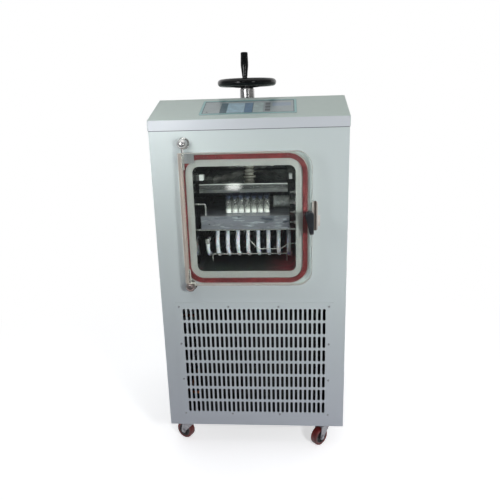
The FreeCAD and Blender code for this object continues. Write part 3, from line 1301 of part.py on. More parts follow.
# ---- refrigeration ------------------------------------------------------------------------------
def radiator():
    """Finned block behind the grille with its return bends at both sides."""
    left = RADIATOR_X - RADIATOR_WIDTH / 2
    low = RADIATOR_Z - RADIATOR_HEIGHT / 2
    pitch = (RADIATOR_WIDTH - FIN_THICK) / (RADIATOR_FINS - 1)
    front = RADIATOR_FRONT
    back = front + RADIATOR_DEPTH
    near, far = [], []
    for index in range(RADIATOR_FINS):
        x = left + index * pitch
        near += [V(x, front, low), V(x + FIN_THICK, front, low)]
        far += [V(x, back, low), V(x + FIN_THICK, back, low)]
        if index < RADIATOR_FINS - 1:
            near += [V(x + FIN_THICK, front + FIN_HEIGHT, low), V(x + pitch, front + FIN_HEIGHT, low)]
            far += [V(x + FIN_THICK, back - FIN_HEIGHT, low), V(x + pitch, back - FIN_HEIGHT, low)]
    outline = near + far[::-1] + [near[0]]
    core = Part.Face(Part.makePolygon(outline)).extrude(V(0, 0, RADIATOR_HEIGHT))
    bends = []
    step = RADIATOR_HEIGHT / RETURN_BENDS
    for side in (-1, 1):
        x = RADIATOR_X + side * RADIATOR_WIDTH / 2
        skipped = 1 if side < 0 else 0
        for index in range(skipped, RETURN_BENDS - skipped):
            z = low + step * (index + 0.5)
            bend = Part.makeTorus(RETURN_BEND_RADIUS, RETURN_TUBE_RADIUS, V(0, 0, 0), Y_AXIS)
            bend.translate(V(x, (front + back) / 2, z))
            xa, xb = sorted((x, x + side * 2 * RETURN_BEND_RADIUS))
            keep = block(xa, xb, front, back, z - step / 2, z + step / 2)
            bends.append(bend.common(keep))
    near = front + STAND_INSET
    stand = block(left, left + RADIATOR_WIDTH, near, back - STAND_INSET, BASE_SHEET, low)
    room = block(left + STAND_LEG, left + RADIATOR_WIDTH - STAND_LEG, near + STAND_FRONT_WALL, back + 1,
                 0, low - STAND_TOP)
    return {"radiator": Part.makeCompound([core] + bends), "radiator_stand": stand.cut(room)}


def fan():
    """Shroud behind the radiator, motor on two bars, and a five-bladed rotor on its shaft."""
    half = SHROUD_SIZE / 2
    front = RADIATOR_FRONT + RADIATOR_DEPTH
    back = front + SHROUD_DEPTH
    x, z = RADIATOR_X, RADIATOR_Z
    ring = FAN_RADIUS + FAN_TIP_GAP
    frame = block(x - half, x + half, front, back, z - half, z + half)
    shroud = frame.cut([
        rod(ring, V(x, front - 1, z), V(x, back + 1, z)),
        block(x - half - 1, x + half + 1, front + SHROUD_WALL, back - SHROUD_WALL,
              z - half - 1, z + half + 1)
        .cut(rod(ring + SHROUD_WALL, V(x, front, z), V(x, back, z))),
    ])
    bars = []
    for offset in (-MOTOR_RADIUS * MOTOR_BAR_SHARE, MOTOR_RADIUS * MOTOR_BAR_SHARE):
        bars.append(block(x - half, x + half, back, back + MOTOR_BAR_THICK,
                          z + offset - MOTOR_BAR_WIDTH / 2, z + offset + MOTOR_BAR_WIDTH / 2))
    hub_front = FAN_Y - FAN_HUB_DEPTH / 2
    hub_back = FAN_Y + FAN_HUB_DEPTH / 2
    motor_front = back + MOTOR_BAR_THICK
    motor = fuse([
        rod(MOTOR_RADIUS, V(x, motor_front, z), V(x, motor_front + MOTOR_DEPTH, z)),
        rod(MOTOR_SHAFT_RADIUS, V(x, hub_front, z), V(x, motor_front + 1, z)),
    ])
    gap = rod(MOTOR_SHAFT_RADIUS + MOTOR_SHAFT_ROOM, V(x, back - 1, z), V(x, motor_front + 1, z))
    rotor_parts = [rod(FAN_HUB_RADIUS, V(x, hub_front, z), V(x, hub_back, z))]
    span = FAN_RADIUS - FAN_HUB_RADIUS + FAN_BLADE_ROOT
    for index in range(FAN_BLADES):
        blade = Part.makeBox(FAN_BLADE_CHORD, FAN_BLADE_THICK, span,
                             V(-FAN_BLADE_CHORD / 2, -FAN_BLADE_THICK / 2, FAN_HUB_RADIUS - FAN_BLADE_ROOT))
        blade.rotate(V(0, 0, 0), Z_AXIS, FAN_BLADE_TILT)
        blade.rotate(V(0, 0, 0), Y_AXIS, index * 360 / FAN_BLADES)
        blade.translate(V(x, FAN_Y, z))
        rotor_parts.append(blade)
    disc = rod(FAN_RADIUS, V(x, front, z), V(x, back, z))
    rotor = fuse(rotor_parts).common(disc)
    rotor = rotor.cut(rod(MOTOR_SHAFT_RADIUS + RUNNING, V(x, hub_front - 1, z), V(x, hub_back + 1, z)))
    return {
        "fan_shroud": Part.makeCompound([shroud] + [bar.cut(gap) for bar in bars]),
        "fan_motor": motor,
        "fan_rotor": rotor,
    }


def compressor():
    """Hermetic can on a foot plate and four rubber mounts."""
    x, y = COMPRESSOR_X, COMPRESSOR_Y
    foot_low = BASE_SHEET + MOUNT_HEIGHT
    can_low = foot_low + FOOT_PLATE_THICK
    half = FOOT_PLATE / 2
    radius = COMPRESSOR_RADIUS
    height = COMPRESSOR_HEIGHT
    bend = COMPRESSOR_ROUND
    middle = COMPRESSOR_ROUND_MIDDLE
    edges = [
        Part.LineSegment(V(0, 0, 0), V(radius - bend, 0, 0)).toShape(),
        Part.Arc(V(radius - bend, 0, 0), V(radius - middle, 0, middle), V(radius, 0, bend)).toShape(),
        Part.LineSegment(V(radius, 0, bend), V(radius, 0, height - COMPRESSOR_DOME)).toShape(),
        cap_arc(radius, height - COMPRESSOR_DOME, height),
        Part.LineSegment(V(0, 0, height), V(0, 0, 0)).toShape(),
    ]
    can = Part.Face(Part.Wire(edges)).revolve(V(0, 0, 0), Z_AXIS, 360)
    can.translate(V(x, y, can_low))
    mounts = []
    for side_x in (-1, 1):
        for side_y in (-1, 1):
            centre = V(x + side_x * (half - MOUNT_INSET), y + side_y * (half - MOUNT_INSET), BASE_SHEET)
            mounts.append(turned([(0, 0), (MOUNT_RADIUS, 0), (MOUNT_RADIUS - 3, MOUNT_HEIGHT / 2),
                                  (MOUNT_RADIUS, MOUNT_HEIGHT), (0, MOUNT_HEIGHT)], centre))
    plate = block(x - half, x + half, y - half, y + half, foot_low, can_low)
    return {
        "compressor": Part.makeCompound([can, plate]),
        "compressor_mounts": Part.makeCompound(mounts),
    }


def radiator_port(index):
    """Height of a tube row on the radiator's left side."""
    step = RADIATOR_HEIGHT / RETURN_BENDS
    return RADIATOR_Z - RADIATOR_HEIGHT / 2 + step * (index + 0.5)


def pipework():
    """Copper lines between the compressor, the radiator and the coil's two tails."""
    inlet, outlet = coil_tail_starts()
    tail_y = CHAMBER_DEPTH + STUB_LENGTH
    can_z = BASE_SHEET + MOUNT_HEIGHT + FOOT_PLATE_THICK + COMPRESSOR_HEIGHT - COMPRESSOR_DOME - PIPE_HEIGHT
    y = COMPRESSOR_Y
    right = COMPRESSOR_X + COMPRESSOR_RADIUS
    left = COMPRESSOR_X - COMPRESSOR_RADIUS
    radiator_left = RADIATOR_X - RADIATOR_WIDTH / 2
    radiator_y = RADIATOR_FRONT + RADIATOR_DEPTH / 2
    top_row = radiator_port(RETURN_BENDS - 1)
    low_row = radiator_port(0)
    suction = tube_path([
        V(outlet.x, tail_y, outlet.z), V(outlet.x, y, outlet.z), V(right + SUCTION_OUT, y, outlet.z),
        V(right + SUCTION_OUT, y, can_z), V(right, y, can_z),
    ], COIL_TUBE_RADIUS, PIPE_BEND)
    discharge = tube_path([
        V(left, y, can_z), V(left - PIPE_OUT, y, can_z), V(left - PIPE_OUT, y, top_row),
        V(left - PIPE_OUT, radiator_y, top_row), V(radiator_left, radiator_y, top_row),
    ], PIPE_RADIUS, DISCHARGE_BEND)
    back_y = tail_y + LIQUID_BACK_RUN
    liquid = tube_path([
        V(radiator_left, radiator_y, low_row), V(LIQUID_X, radiator_y, low_row),
        V(LIQUID_X, LIQUID_Y, low_row), V(LIQUID_X, LIQUID_Y, LIQUID_Z), V(LIQUID_X, back_y, LIQUID_Z),
        V(inlet.x, back_y, LIQUID_Z), V(inlet.x, back_y, inlet.z), V(inlet.x, tail_y, inlet.z),
    ], PIPE_RADIUS, LIQUID_BEND)
    low = V(LIQUID_X, LIQUID_Y, (low_row + LIQUID_Z - DRIER_LENGTH) / 2)
    drier = rod(DRIER_RADIUS, low, low + V(0, 0, DRIER_LENGTH))
    lines = [suction, discharge, liquid.cut(drier)]
    return {"refrigerant_pipes": Part.makeCompound(lines), "filter_drier": drier}


# ---- services -----------------------------------------------------------------------------------
def services():
    """Vacuum port, drain and power inlet on the rear sheet, and the electrical box."""
    y0 = CHAMBER_DEPTH + CHAMBER_WALL
    flange = REAR_MOST - VACUUM_FLANGE_THICK
    r = VACUUM_PIPE_RADIUS
    profile = [
        (VACUUM_BORE_RADIUS, y0), (r, y0), (r, flange - VACUUM_FLANGE_TAPER), (VACUUM_FLANGE_RADIUS, flange),
        (VACUUM_FLANGE_RADIUS, REAR_MOST), (VACUUM_BORE_RADIUS, REAR_MOST),
    ]
    vacuum = turned(profile, V(VACUUM_X, 0, VACUUM_Z), Y_AXIS)
    drain_end = CABINET_DEPTH + DRAIN_REACH
    drain_points = [
        V(DRAIN_X, DRAIN_Y, CHAMBER_FLOOR - CHAMBER_WALL), V(DRAIN_X, DRAIN_Y, DRAIN_Z),
        V(DRAIN_X, drain_end, DRAIN_Z),
    ]
    drain = tube_path(drain_points, DRAIN_RADIUS, PIPE_BEND)
    drain = drain.cut(tube_path(drain_points, DRAIN_RADIUS - DRAIN_WALL, PIPE_BEND))
    cap_start = V(DRAIN_X, drain_end - DRAIN_CAP_LENGTH + DRAIN_WALL, DRAIN_Z)
    cap_end = V(DRAIN_X, drain_end + DRAIN_WALL, DRAIN_Z)
    cap = rod(DRAIN_CAP_RADIUS, cap_start, cap_end)
    cap = cap.cut(rod(DRAIN_RADIUS, cap_start - V(0, 1, 0), V(DRAIN_X, drain_end, DRAIN_Z)))
    half_w = INLET_WIDTH / 2
    half_h = INLET_HEIGHT / 2
    back = CABINET_DEPTH
    body = block(INLET_X - half_w, INLET_X + half_w, back - INLET_DEPTH, back, INLET_Z - half_h,
                 INLET_Z + half_h)
    rim = block(INLET_X - half_w - INLET_RIM_SIDE, INLET_X + half_w + INLET_RIM_SIDE,
                back, back + INLET_RIM, INLET_Z - half_h - INLET_RIM, INLET_Z + half_h + INLET_RIM)
    socket = block(INLET_X - half_w + INLET_SIDE_WALL, INLET_X + half_w - INLET_SIDE_WALL,
                   back - INLET_DEPTH + INLET_FLOOR, back + INLET_RIM + 1,
                   INLET_Z - half_h + INLET_WALL, INLET_Z + half_h - INLET_WALL)
    blades = []
    for offset in (-BLADE_PITCH, 0, BLADE_PITCH):
        x = INLET_X + offset
        blades.append(block(x - BLADE_THICK / 2, x + BLADE_THICK / 2,
                            back - INLET_DEPTH + BLADE_INSET, back - BLADE_INSET,
                            INLET_Z - BLADE_HEIGHT / 2, INLET_Z + BLADE_HEIGHT / 2))
    inlet = fuse([body, rim]).cut(socket).fuse(blades)
    x0, x1 = BOX_X - BOX_WIDTH / 2, BOX_X + BOX_WIDTH / 2
    y0, y1 = BOX_Y - BOX_DEPTH / 2, BOX_Y + BOX_DEPTH / 2
    top = BASE_SHEET + BOX_HEIGHT
    tub = block(x0, x1, y0, y1, BASE_SHEET, top)
    tub = tub.cut(block(x0 - 1, x1 - SHEET, y0 + SHEET, y1 - SHEET, BASE_SHEET + SHEET, top - SHEET))
    lid = block(x0 - SHEET, x0, y0, y1, BASE_SHEET, top)
    return {
        "vacuum_port": vacuum,
        "drain_pipe": Part.makeCompound([drain, cap]),
        "power_inlet": inlet,
        "electrical_box": Part.makeCompound([tub, lid]),
    }


# ---- casters ------------------------------------------------------------------------------------
def caster(name, turn):
    """Swivel caster: plate and race on the cabinet; fork and axle; wheel with its red tread."""
    x = math.copysign(CASTER_X, 1 if "right" in name else -1)
    y = CASTER_END_INSET if "front" in name else CABINET_DEPTH - CASTER_END_INSET
    half = CASTER_PLATE / 2
    race_low = -CASTER_PLATE_THICK - RACE_DEPTH
    crown_top = race_low - FREE
    crown_low = crown_top - FORK_WALL
    axle_z = -BASE_HEIGHT + WHEEL_RADIUS
    inner = WHEEL_WIDTH / 2 + FORK_GAP
    outer = inner + FORK_WALL
    plate = block(-half, half, -half, half, -CASTER_PLATE_THICK, 0)
    race = Part.makeCone(RACE_RADIUS, RACE_RADIUS - 3, RACE_DEPTH, V(0, 0, -CASTER_PLATE_THICK), V(0, 0, -1))
    head_low = crown_low - FREE - KING_HEAD_THICK
    king = fuse([
        rod(KING_PIN_RADIUS, V(0, 0, head_low), V(0, 0, 0)),
        rod(KING_HEAD_RADIUS, V(0, 0, head_low), V(0, 0, head_low + KING_HEAD_THICK)),
    ])
    mount = fuse([plate, race, king])
    legs = []
    crown_back = FORK_BACK_INSET - RACE_RADIUS
    crown_front = RACE_RADIUS + FORK_FRONT_REACH
    boss = AXLE_HEAD_RADIUS + AXLE_BOSS_WALL
    for side in (-1, 1):
        y0, y1 = sorted((side * inner, side * outer))
        outline = [
            V(crown_back, y0, crown_top), V(crown_front, y0, crown_top),
            V(CASTER_TRAIL + boss, y0, axle_z), V(CASTER_TRAIL - boss, y0, axle_z),
        ]
        leg = Part.Face(Part.makePolygon(outline + [outline[0]])).extrude(V(0, y1 - y0, 0))
        legs.append(leg)
        legs.append(rod(boss, V(CASTER_TRAIL, y0, axle_z), V(CASTER_TRAIL, y1, axle_z)))
    crown = block(crown_back, crown_front, -outer, outer, crown_low, crown_top)
    fork = fuse([crown] + legs).cut([
        rod(KING_PIN_RADIUS + RUNNING, V(0, 0, crown_low - 1), V(0, 0, crown_top + 1)),
        rod(AXLE_RADIUS, V(CASTER_TRAIL, -outer - 1, axle_z), V(CASTER_TRAIL, outer + 1, axle_z)),
    ])
    axle_parts = [rod(AXLE_RADIUS, V(CASTER_TRAIL, -outer, axle_z), V(CASTER_TRAIL, outer, axle_z))]
    for side in (-1, 1):
        axle_parts.append(rod(AXLE_HEAD_RADIUS, V(CASTER_TRAIL, side * outer, axle_z),
                              V(CASTER_TRAIL, side * (outer + AXLE_HEAD_THICK), axle_z)))
    axle = fuse(axle_parts)
    width = WHEEL_WIDTH / 2
    centre = V(CASTER_TRAIL, 0, axle_z)
    hub_boss = AXLE_RADIUS + HUB_BOSS_WALL
    web = width - HUB_DISH
    side = width - TREAD_INSET
    half_hub = [
        (AXLE_RADIUS + RUNNING, width), (hub_boss, width), (hub_boss + HUB_BOSS_FLARE, web),
        (WHEEL_HUB_RADIUS - HUB_RIM_WALL, web), (WHEEL_HUB_RADIUS - HUB_RIM_WALL / 2, side),
        (WHEEL_HUB_RADIUS, side),
    ]
    half_tread = [
        (WHEEL_HUB_RADIUS, side), (WHEEL_RADIUS - TREAD_ROUND, side),
        (WHEEL_RADIUS - TREAD_INSET, width - TREAD_ROUND), (WHEEL_RADIUS, width - TREAD_SHOULDER),
    ]
    hub = turned(mirrored(half_hub), centre, Y_AXIS)
    tread = turned(mirrored(half_tread), centre, Y_AXIS)
    pieces = [mount, Part.makeCompound([fork, axle]), Part.makeCompound([hub, tread])]
    for index, shape in enumerate(pieces):
        if index > 0:
            shape.rotate(V(0, 0, 0), Z_AXIS, turn)
        shape.translate(V(x, y, 0))
    return pieces


def casters():
    nodes = {}
    mounts = []
    for name, turn in CASTER_TURNS.items():
        mount, nodes["caster_fork_" + name], nodes["caster_wheel_" + name] = caster(name, turn)
        mounts.append(mount)
    nodes["caster_mounts"] = Part.makeCompound(mounts)
    return nodes


# ---- assembly -----------------------------------------------------------------------------------
def all_nodes():
    nodes = {
        "base_tray": base_tray(),
        "cabinet_frame": cabinet_frame(),
        "front_panel": front_panel(),
        "left_side_panel": side_panel(-1),
        "right_side_panel": side_panel(1),
        "rear_panel": rear_panel(),
        "top_cover": top_cover(),
        "grille_panel": grille_panel(),
        "grille_screws": grille_screws(),
        "vacuum_chamber": vacuum_chamber(),
        "door_gasket": door_gasket(),
        "condenser_coil": condenser_coil(),
        "coil_cradle": coil_cradle(),
        "chamber_fittings": chamber_fittings(),
        "sensor_lead": sensor_lead(),
        "shelf_hose": shelf_hose(),
        "press_column": press_column(),
        "press_plunger": plunger(),
        "press_plate": press_plate(),
        "press_screw": Part.makeCompound([press_screw(), hub_nut()]),
        "handwheel": handwheel(),
        "crank_pin": crank_pin(),
        "crank_grip": crank_grip(),
        "door_corner_plate": corner_plate(),
        "latch_keeper": latch_keeper(),
        "plate_guides": plate_guides(),
    }
    nodes["door_plate"] = door_plate(nodes["door_corner_plate"])
    upper_post, upper_pin = hinge_post(UPPER_POST_Z, UPPER_PIN_END)
    lower_post, lower_pin = hinge_post(LOWER_POST_Z, LOWER_PIN_END)
    nodes["hinge_posts"] = Part.makeCompound([upper_post, lower_post])
    nodes["hinge_pins"] = Part.makeCompound([upper_pin, lower_pin])
    groups = [
        console(), shelf(), vial_load(), latch(), radiator(), fan(), compressor(),
        pipework(), services(), casters(),
    ]
    for group in groups:
        nodes.update(group)
    return nodes


def export(nodes):
    os.makedirs("parts", exist_ok=True)
    for node, shape in nodes.items():
        shape.translate(V(0, FRONT_Y, BASE_HEIGHT))
        shape.exportStep(os.path.join("parts", node + ".step"))


export(all_nodes())
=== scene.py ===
"""Looks of the laboratory freeze dryer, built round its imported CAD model. Metres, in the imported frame."""
import json
import math
import random

import bpy
from mathutils import Matrix, Vector, noise


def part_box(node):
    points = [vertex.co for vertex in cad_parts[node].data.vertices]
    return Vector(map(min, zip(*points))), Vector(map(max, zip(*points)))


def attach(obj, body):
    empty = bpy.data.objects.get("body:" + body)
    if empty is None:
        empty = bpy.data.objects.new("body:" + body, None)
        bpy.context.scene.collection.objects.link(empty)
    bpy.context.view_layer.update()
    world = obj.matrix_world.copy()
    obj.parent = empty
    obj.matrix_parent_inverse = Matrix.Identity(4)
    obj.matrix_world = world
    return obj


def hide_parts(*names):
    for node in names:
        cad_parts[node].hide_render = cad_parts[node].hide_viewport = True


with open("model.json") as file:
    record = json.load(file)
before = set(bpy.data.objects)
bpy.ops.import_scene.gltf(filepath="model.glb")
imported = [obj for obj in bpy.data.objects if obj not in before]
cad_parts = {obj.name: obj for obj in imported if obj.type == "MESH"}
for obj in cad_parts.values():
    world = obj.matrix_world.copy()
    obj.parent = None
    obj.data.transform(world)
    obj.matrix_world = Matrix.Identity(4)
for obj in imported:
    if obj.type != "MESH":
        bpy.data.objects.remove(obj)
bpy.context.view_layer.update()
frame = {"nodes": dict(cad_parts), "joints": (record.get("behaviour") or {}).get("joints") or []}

MM = 0.001
TAU = 2 * math.pi
nodes = frame["nodes"]
joints = {joint["name"]: joint for joint in frame["joints"]}
scene = bpy.context.scene
CORNERS = ("front_right", "front_left", "rear_right", "rear_left")

front_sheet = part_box("front_panel")[0].y
plate_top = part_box("press_plate")[1].z
coil_low, coil_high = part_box("condenser_coil")
cover_low, cover_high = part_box("top_cover")


def middle(name):
    """Centre of a CAD node's box."""
    low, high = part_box(name)
    return (low + high) / 2


# ---- node trees ---------------------------------------------------------------------------------
def linear(red, green, blue):
    """Scene colour of a screen colour given as 0 to 255."""
    def one(value):
        value /= 255
        return value / 12.92 if value <= 0.04045 else ((value + 0.055) / 1.055) ** 2.4
    return (one(red), one(green), one(blue), 1.0)


def darker(colour, share):
    return [int(part * share) for part in colour]


class Nodes:
    """Adds and links nodes in the tree of a material or of the world, which starts empty."""

    def __init__(self, owner):
        owner.use_nodes = True
        self.tree = owner.node_tree
        self.tree.nodes.clear()

    def add(self, kind, **settings):
        node = self.tree.nodes.new(kind)
        for key, value in settings.items():
            setattr(node, key, value)
        return node

    def link(self, source, target):
        self.tree.links.new(source, target)

    def simple(self, kind, **inputs):
        """A plain shader with these inputs."""
        node = self.add(kind)
        for socket, value in inputs.items():
            node.inputs[socket].default_value = value
        return node.outputs[0]

    def mixed(self, share, first, second):
        """Two shaders mixed: the first where the share is 0, the second where it is 1."""
        node = self.add("ShaderNodeMixShader")
        for source, target in zip((share, first, second), node.inputs):
            self.link(source, target)
        return node.outputs[0]

    def axis(self, name, source="Object"):
        """One coordinate in metres, or one part of a direction."""
        split = self.add("ShaderNodeSeparateXYZ")
        self.link(self.add("ShaderNodeTexCoord").outputs[source], split.inputs[0])
        return split.outputs[name]

    def maths(self, operation, first, second=None):
        node = self.add("ShaderNodeMath", operation=operation)
        self.link(first, node.inputs[0])
        if isinstance(second, (int, float)):
            node.inputs[1].default_value = second
        elif second is not None:
            self.link(second, node.inputs[1])
        return node.outputs[0]

    def ranged(self, value, low, high, to_low=0.0, to_high=1.0, curve="LINEAR"):
        node = self.add("ShaderNodeMapRange", interpolation_type=curve)
        for socket, number in zip(("From Min", "From Max", "To Min", "To Max"), (low, high, to_low, to_high)):
            node.inputs[socket].default_value = number
        self.link(value, node.inputs["Value"])
        return node.outputs["Result"]

    def from_middle(self, low, high):
        """0 at one distance from the object's own middle and 1 at the other, eased."""
        distance = self.add("ShaderNodeVectorMath", operation="LENGTH")
        self.link(self.add("ShaderNodeTexCoord").outputs["Object"], distance.inputs[0])
        return self.ranged(distance.outputs["Value"], low, high, curve="SMOOTHSTEP")


class Finish(Nodes):
    """A Principled material whose colour, roughness and relief come from noises in object space."""

    def __init__(self, name, colour, roughness, metallic=0.0, **sockets):
        self.material = bpy.data.materials.new(name)
        super().__init__(self.material)
        self.output = self.add("ShaderNodeOutputMaterial")
        self.shader = self.add("ShaderNodeBsdfPrincipled")
        self.link(self.shader.outputs["BSDF"], self.output.inputs["Surface"])
        self.shader.inputs["Base Color"].default_value = linear(*colour)
        self.shader.inputs["Roughness"].default_value = roughness
        self.shader.inputs["Metallic"].default_value = metallic
        for socket, value in sockets.items():
            self.shader.inputs[socket.replace("_", " ")].default_value = value
        self.place = self.add("ShaderNodeTexCoord").outputs["Object"]

    def noise(self, scale, detail=3.0, stretch=None, distortion=0.0):
        node = self.add("ShaderNodeTexNoise")
        node.inputs["Scale"].default_value = scale
        node.inputs["Detail"].default_value = detail
        node.inputs["Distortion"].default_value = distortion
        place = self.place
        if stretch:
            mapping = self.add("ShaderNodeMapping")
            mapping.inputs["Scale"].default_value = stretch
            self.link(place, mapping.inputs["Vector"])
            place = mapping.outputs["Vector"]
        self.link(place, node.inputs["Vector"])
        return node.outputs["Fac"]

    def cells(self, scale):
        node = self.add("ShaderNodeTexVoronoi")
        node.inputs["Scale"].default_value = scale
        self.link(self.place, node.inputs["Vector"])
        return node.outputs["Distance"]

    def waves(self, scale, direction):
        node = self.add("ShaderNodeTexWave", bands_direction=direction)
        node.inputs["Scale"].default_value = scale
        self.link(self.place, node.inputs["Vector"])
        return node.outputs["Fac"]

    def away(self, name, place):
        """Distance from a place on an axis, to either side."""
        return self.maths("ABSOLUTE", self.maths("SUBTRACT", self.axis(name), place))

    def across(self, name, low, high):
        """How squarely the surface faces along an axis, either way."""
        return self.ranged(self.maths("ABSOLUTE", self.axis(name, "Normal")), low, high)

    def mix(self, kind, factor):
        """Mix node for sockets of a kind: its first input, its second and its result."""
        node = self.add("ShaderNodeMix", data_type="RGBA" if kind == "RGBA" else "FLOAT")
        first, second = [socket for socket in node.inputs if socket.enabled and socket.type == kind][-2:]
        self.link(factor, node.inputs["Factor"])
        return first, second, next(socket for socket in node.outputs if socket.enabled)

    def blend(self, socket, factor, to):
        """Mix a shader socket from what it holds now towards a colour, a number or another socket."""
        target = self.shader.inputs[socket]
        first, second, result = self.mix(target.type, factor)
        if target.links:
            self.link(target.links[0].from_socket, first)
        else:
            first.default_value = target.default_value
        if hasattr(to, "links"):
            self.link(to, second)
        else:
            second.default_value = linear(*to) if target.type == "RGBA" else to
        self.link(result, target)

    def patch(self, factor, **sockets):
        """Other values for some of the shader's sockets over part of the surface."""
        for socket, value in sockets.items():
            self.blend(socket.replace("_", " "), factor, value)

    def tint(self, factor, colour, low=0.4, high=0.7):
        self.blend("Base Color", self.ranged(factor, low, high), colour)

    def gloss(self, factor, low, high):
        """Roughness that runs from low to high over a noise."""
        self.link(self.ranged(factor, 0.3, 0.7, low, high), self.shader.inputs["Roughness"])

    def relief(self, height, depth, strength=1.0):
        bump = self.add("ShaderNodeBump")
        bump.inputs["Distance"].default_value = depth
        bump.inputs["Strength"].default_value = strength
        target = self.shader.inputs["Normal"]
        if target.links:
            self.link(target.links[0].from_socket, bump.inputs["Normal"])
        self.link(height, bump.inputs["Height"])
        self.link(bump.outputs["Normal"], target)

    def clear_to_light(self, shade, edge=None, edge_shade=None):
        """Let light pass straight through, so that what is inside is lit; edges may hold some back."""
        see_through = self.add("ShaderNodeBsdfTransparent")
        see_through.inputs["Color"].default_value = shade
        if edge is not None:
            first, second, result = self.mix("RGBA", edge)
            first.default_value = shade
            second.default_value = edge_shade
            self.link(result, see_through.inputs["Color"])
        shadow = self.add("ShaderNodeLightPath").outputs["Is Shadow Ray"]
        surface = self.mixed(shadow, self.shader.outputs["BSDF"], see_through.outputs[0])
        self.link(surface, self.output.inputs["Surface"])


# ---- kinds of finish ----------------------------------------------------------------------------
def powder_coat(name, colour, warm):
    coat = Finish(name, colour, 0.42, Coat_Weight=0.08, Coat_Roughness=0.3)
    coat.tint(coat.noise(2.3, 2.0), warm, 0.35, 0.75)
    coat.gloss(coat.noise(55, 4.0), 0.4, 0.5)
    coat.relief(coat.noise(520, 2.0), 0.12 * MM, 0.5)
    coat.relief(coat.noise(9, 2.0), 1.2 * MM, 0.25)
    return coat


def brushed(name, colour, roughness, stretch, metallic=1.0):
    """Steel with fine lines along the axis that stretch leaves short."""
    steel = Finish(name, colour, roughness, metallic)
    lines = steel.noise(90, 5.0, stretch)
    steel.gloss(lines, roughness - 0.06, roughness + 0.1)
    steel.tint(steel.noise(30, 4.0, stretch), darker(colour, 0.8), 0.45, 0.75)
    steel.relief(lines, 0.1 * MM, 0.35)
    return steel


def polished(name, colour, roughness, metallic=1.0, depth=0.05 * MM):
    """Metal with faint clouds; less than fully metallic where it has to stay pale in a dark room."""
    metal = Finish(name, colour, roughness, metallic)
    metal.gloss(metal.noise(160, 4.0), roughness * 0.7, roughness * 1.6)
    metal.tint(metal.noise(40, 3.0), darker(colour, 0.88))
    metal.relief(metal.noise(70, 3.0), depth, 0.4)
    return metal


def membrane(name, colour, roughness=0.32):
    sheet = Finish(name, colour, roughness)
    sheet.tint(sheet.noise(35, 2.0), darker(colour, 0.96))
    sheet.gloss(sheet.noise(90, 3.0), roughness * 0.85, roughness * 1.2)
    sheet.relief(sheet.noise(1500, 2.0), 0.02 * MM, 0.3)
    return sheet


def moulded(name, colour, roughness, grain=700, **sockets):
    plastic = Finish(name, colour, roughness, **sockets)
    plastic.gloss(plastic.noise(120, 4.0), roughness * 0.75, roughness * 1.35)
    plastic.tint(plastic.noise(60, 3.0), [min(255, int(part * 1.15) + 6) for part in colour])
    plastic.relief(plastic.noise(grain, 2.0), 0.08 * MM, 0.4)
    return plastic


def screen_field(name, colour):
    field = moulded(name, colour, 0.42, 1500)
    field.tint(field.waves(520, "X"), darker(colour, 0.93), 0.2, 0.8)
    return field


# ---- finishes of this machine -------------------------------------------------------------------
def cabinet_coat():
    """Powder coat, painted a little bluer and darker towards the floor as shade."""
    coat = powder_coat("cabinet_powder_coat", (197, 208, 206), (195, 206, 203))
    floor_shade_span = (600 * MM, 100 * MM)
    # Painted shade: bluer and darker towards the floor.
    coat.patch(coat.ranged(coat.axis("Z"), *floor_shade_span), Base_Color=(186, 193, 198))
    return coat


def cover_coat():
    """Powder coat, painted bluer on the lid's upright lip as a tint of the light that falls on it."""
    coat = powder_coat("cover_powder_coat", (190, 205, 198), (188, 204, 195))
    # Painted light: the front-facing lip is tinted bluer than the slope.
    coat.patch(coat.across("Y", 0.8, 0.95), Base_Color=(197, 203, 206))
    return coat


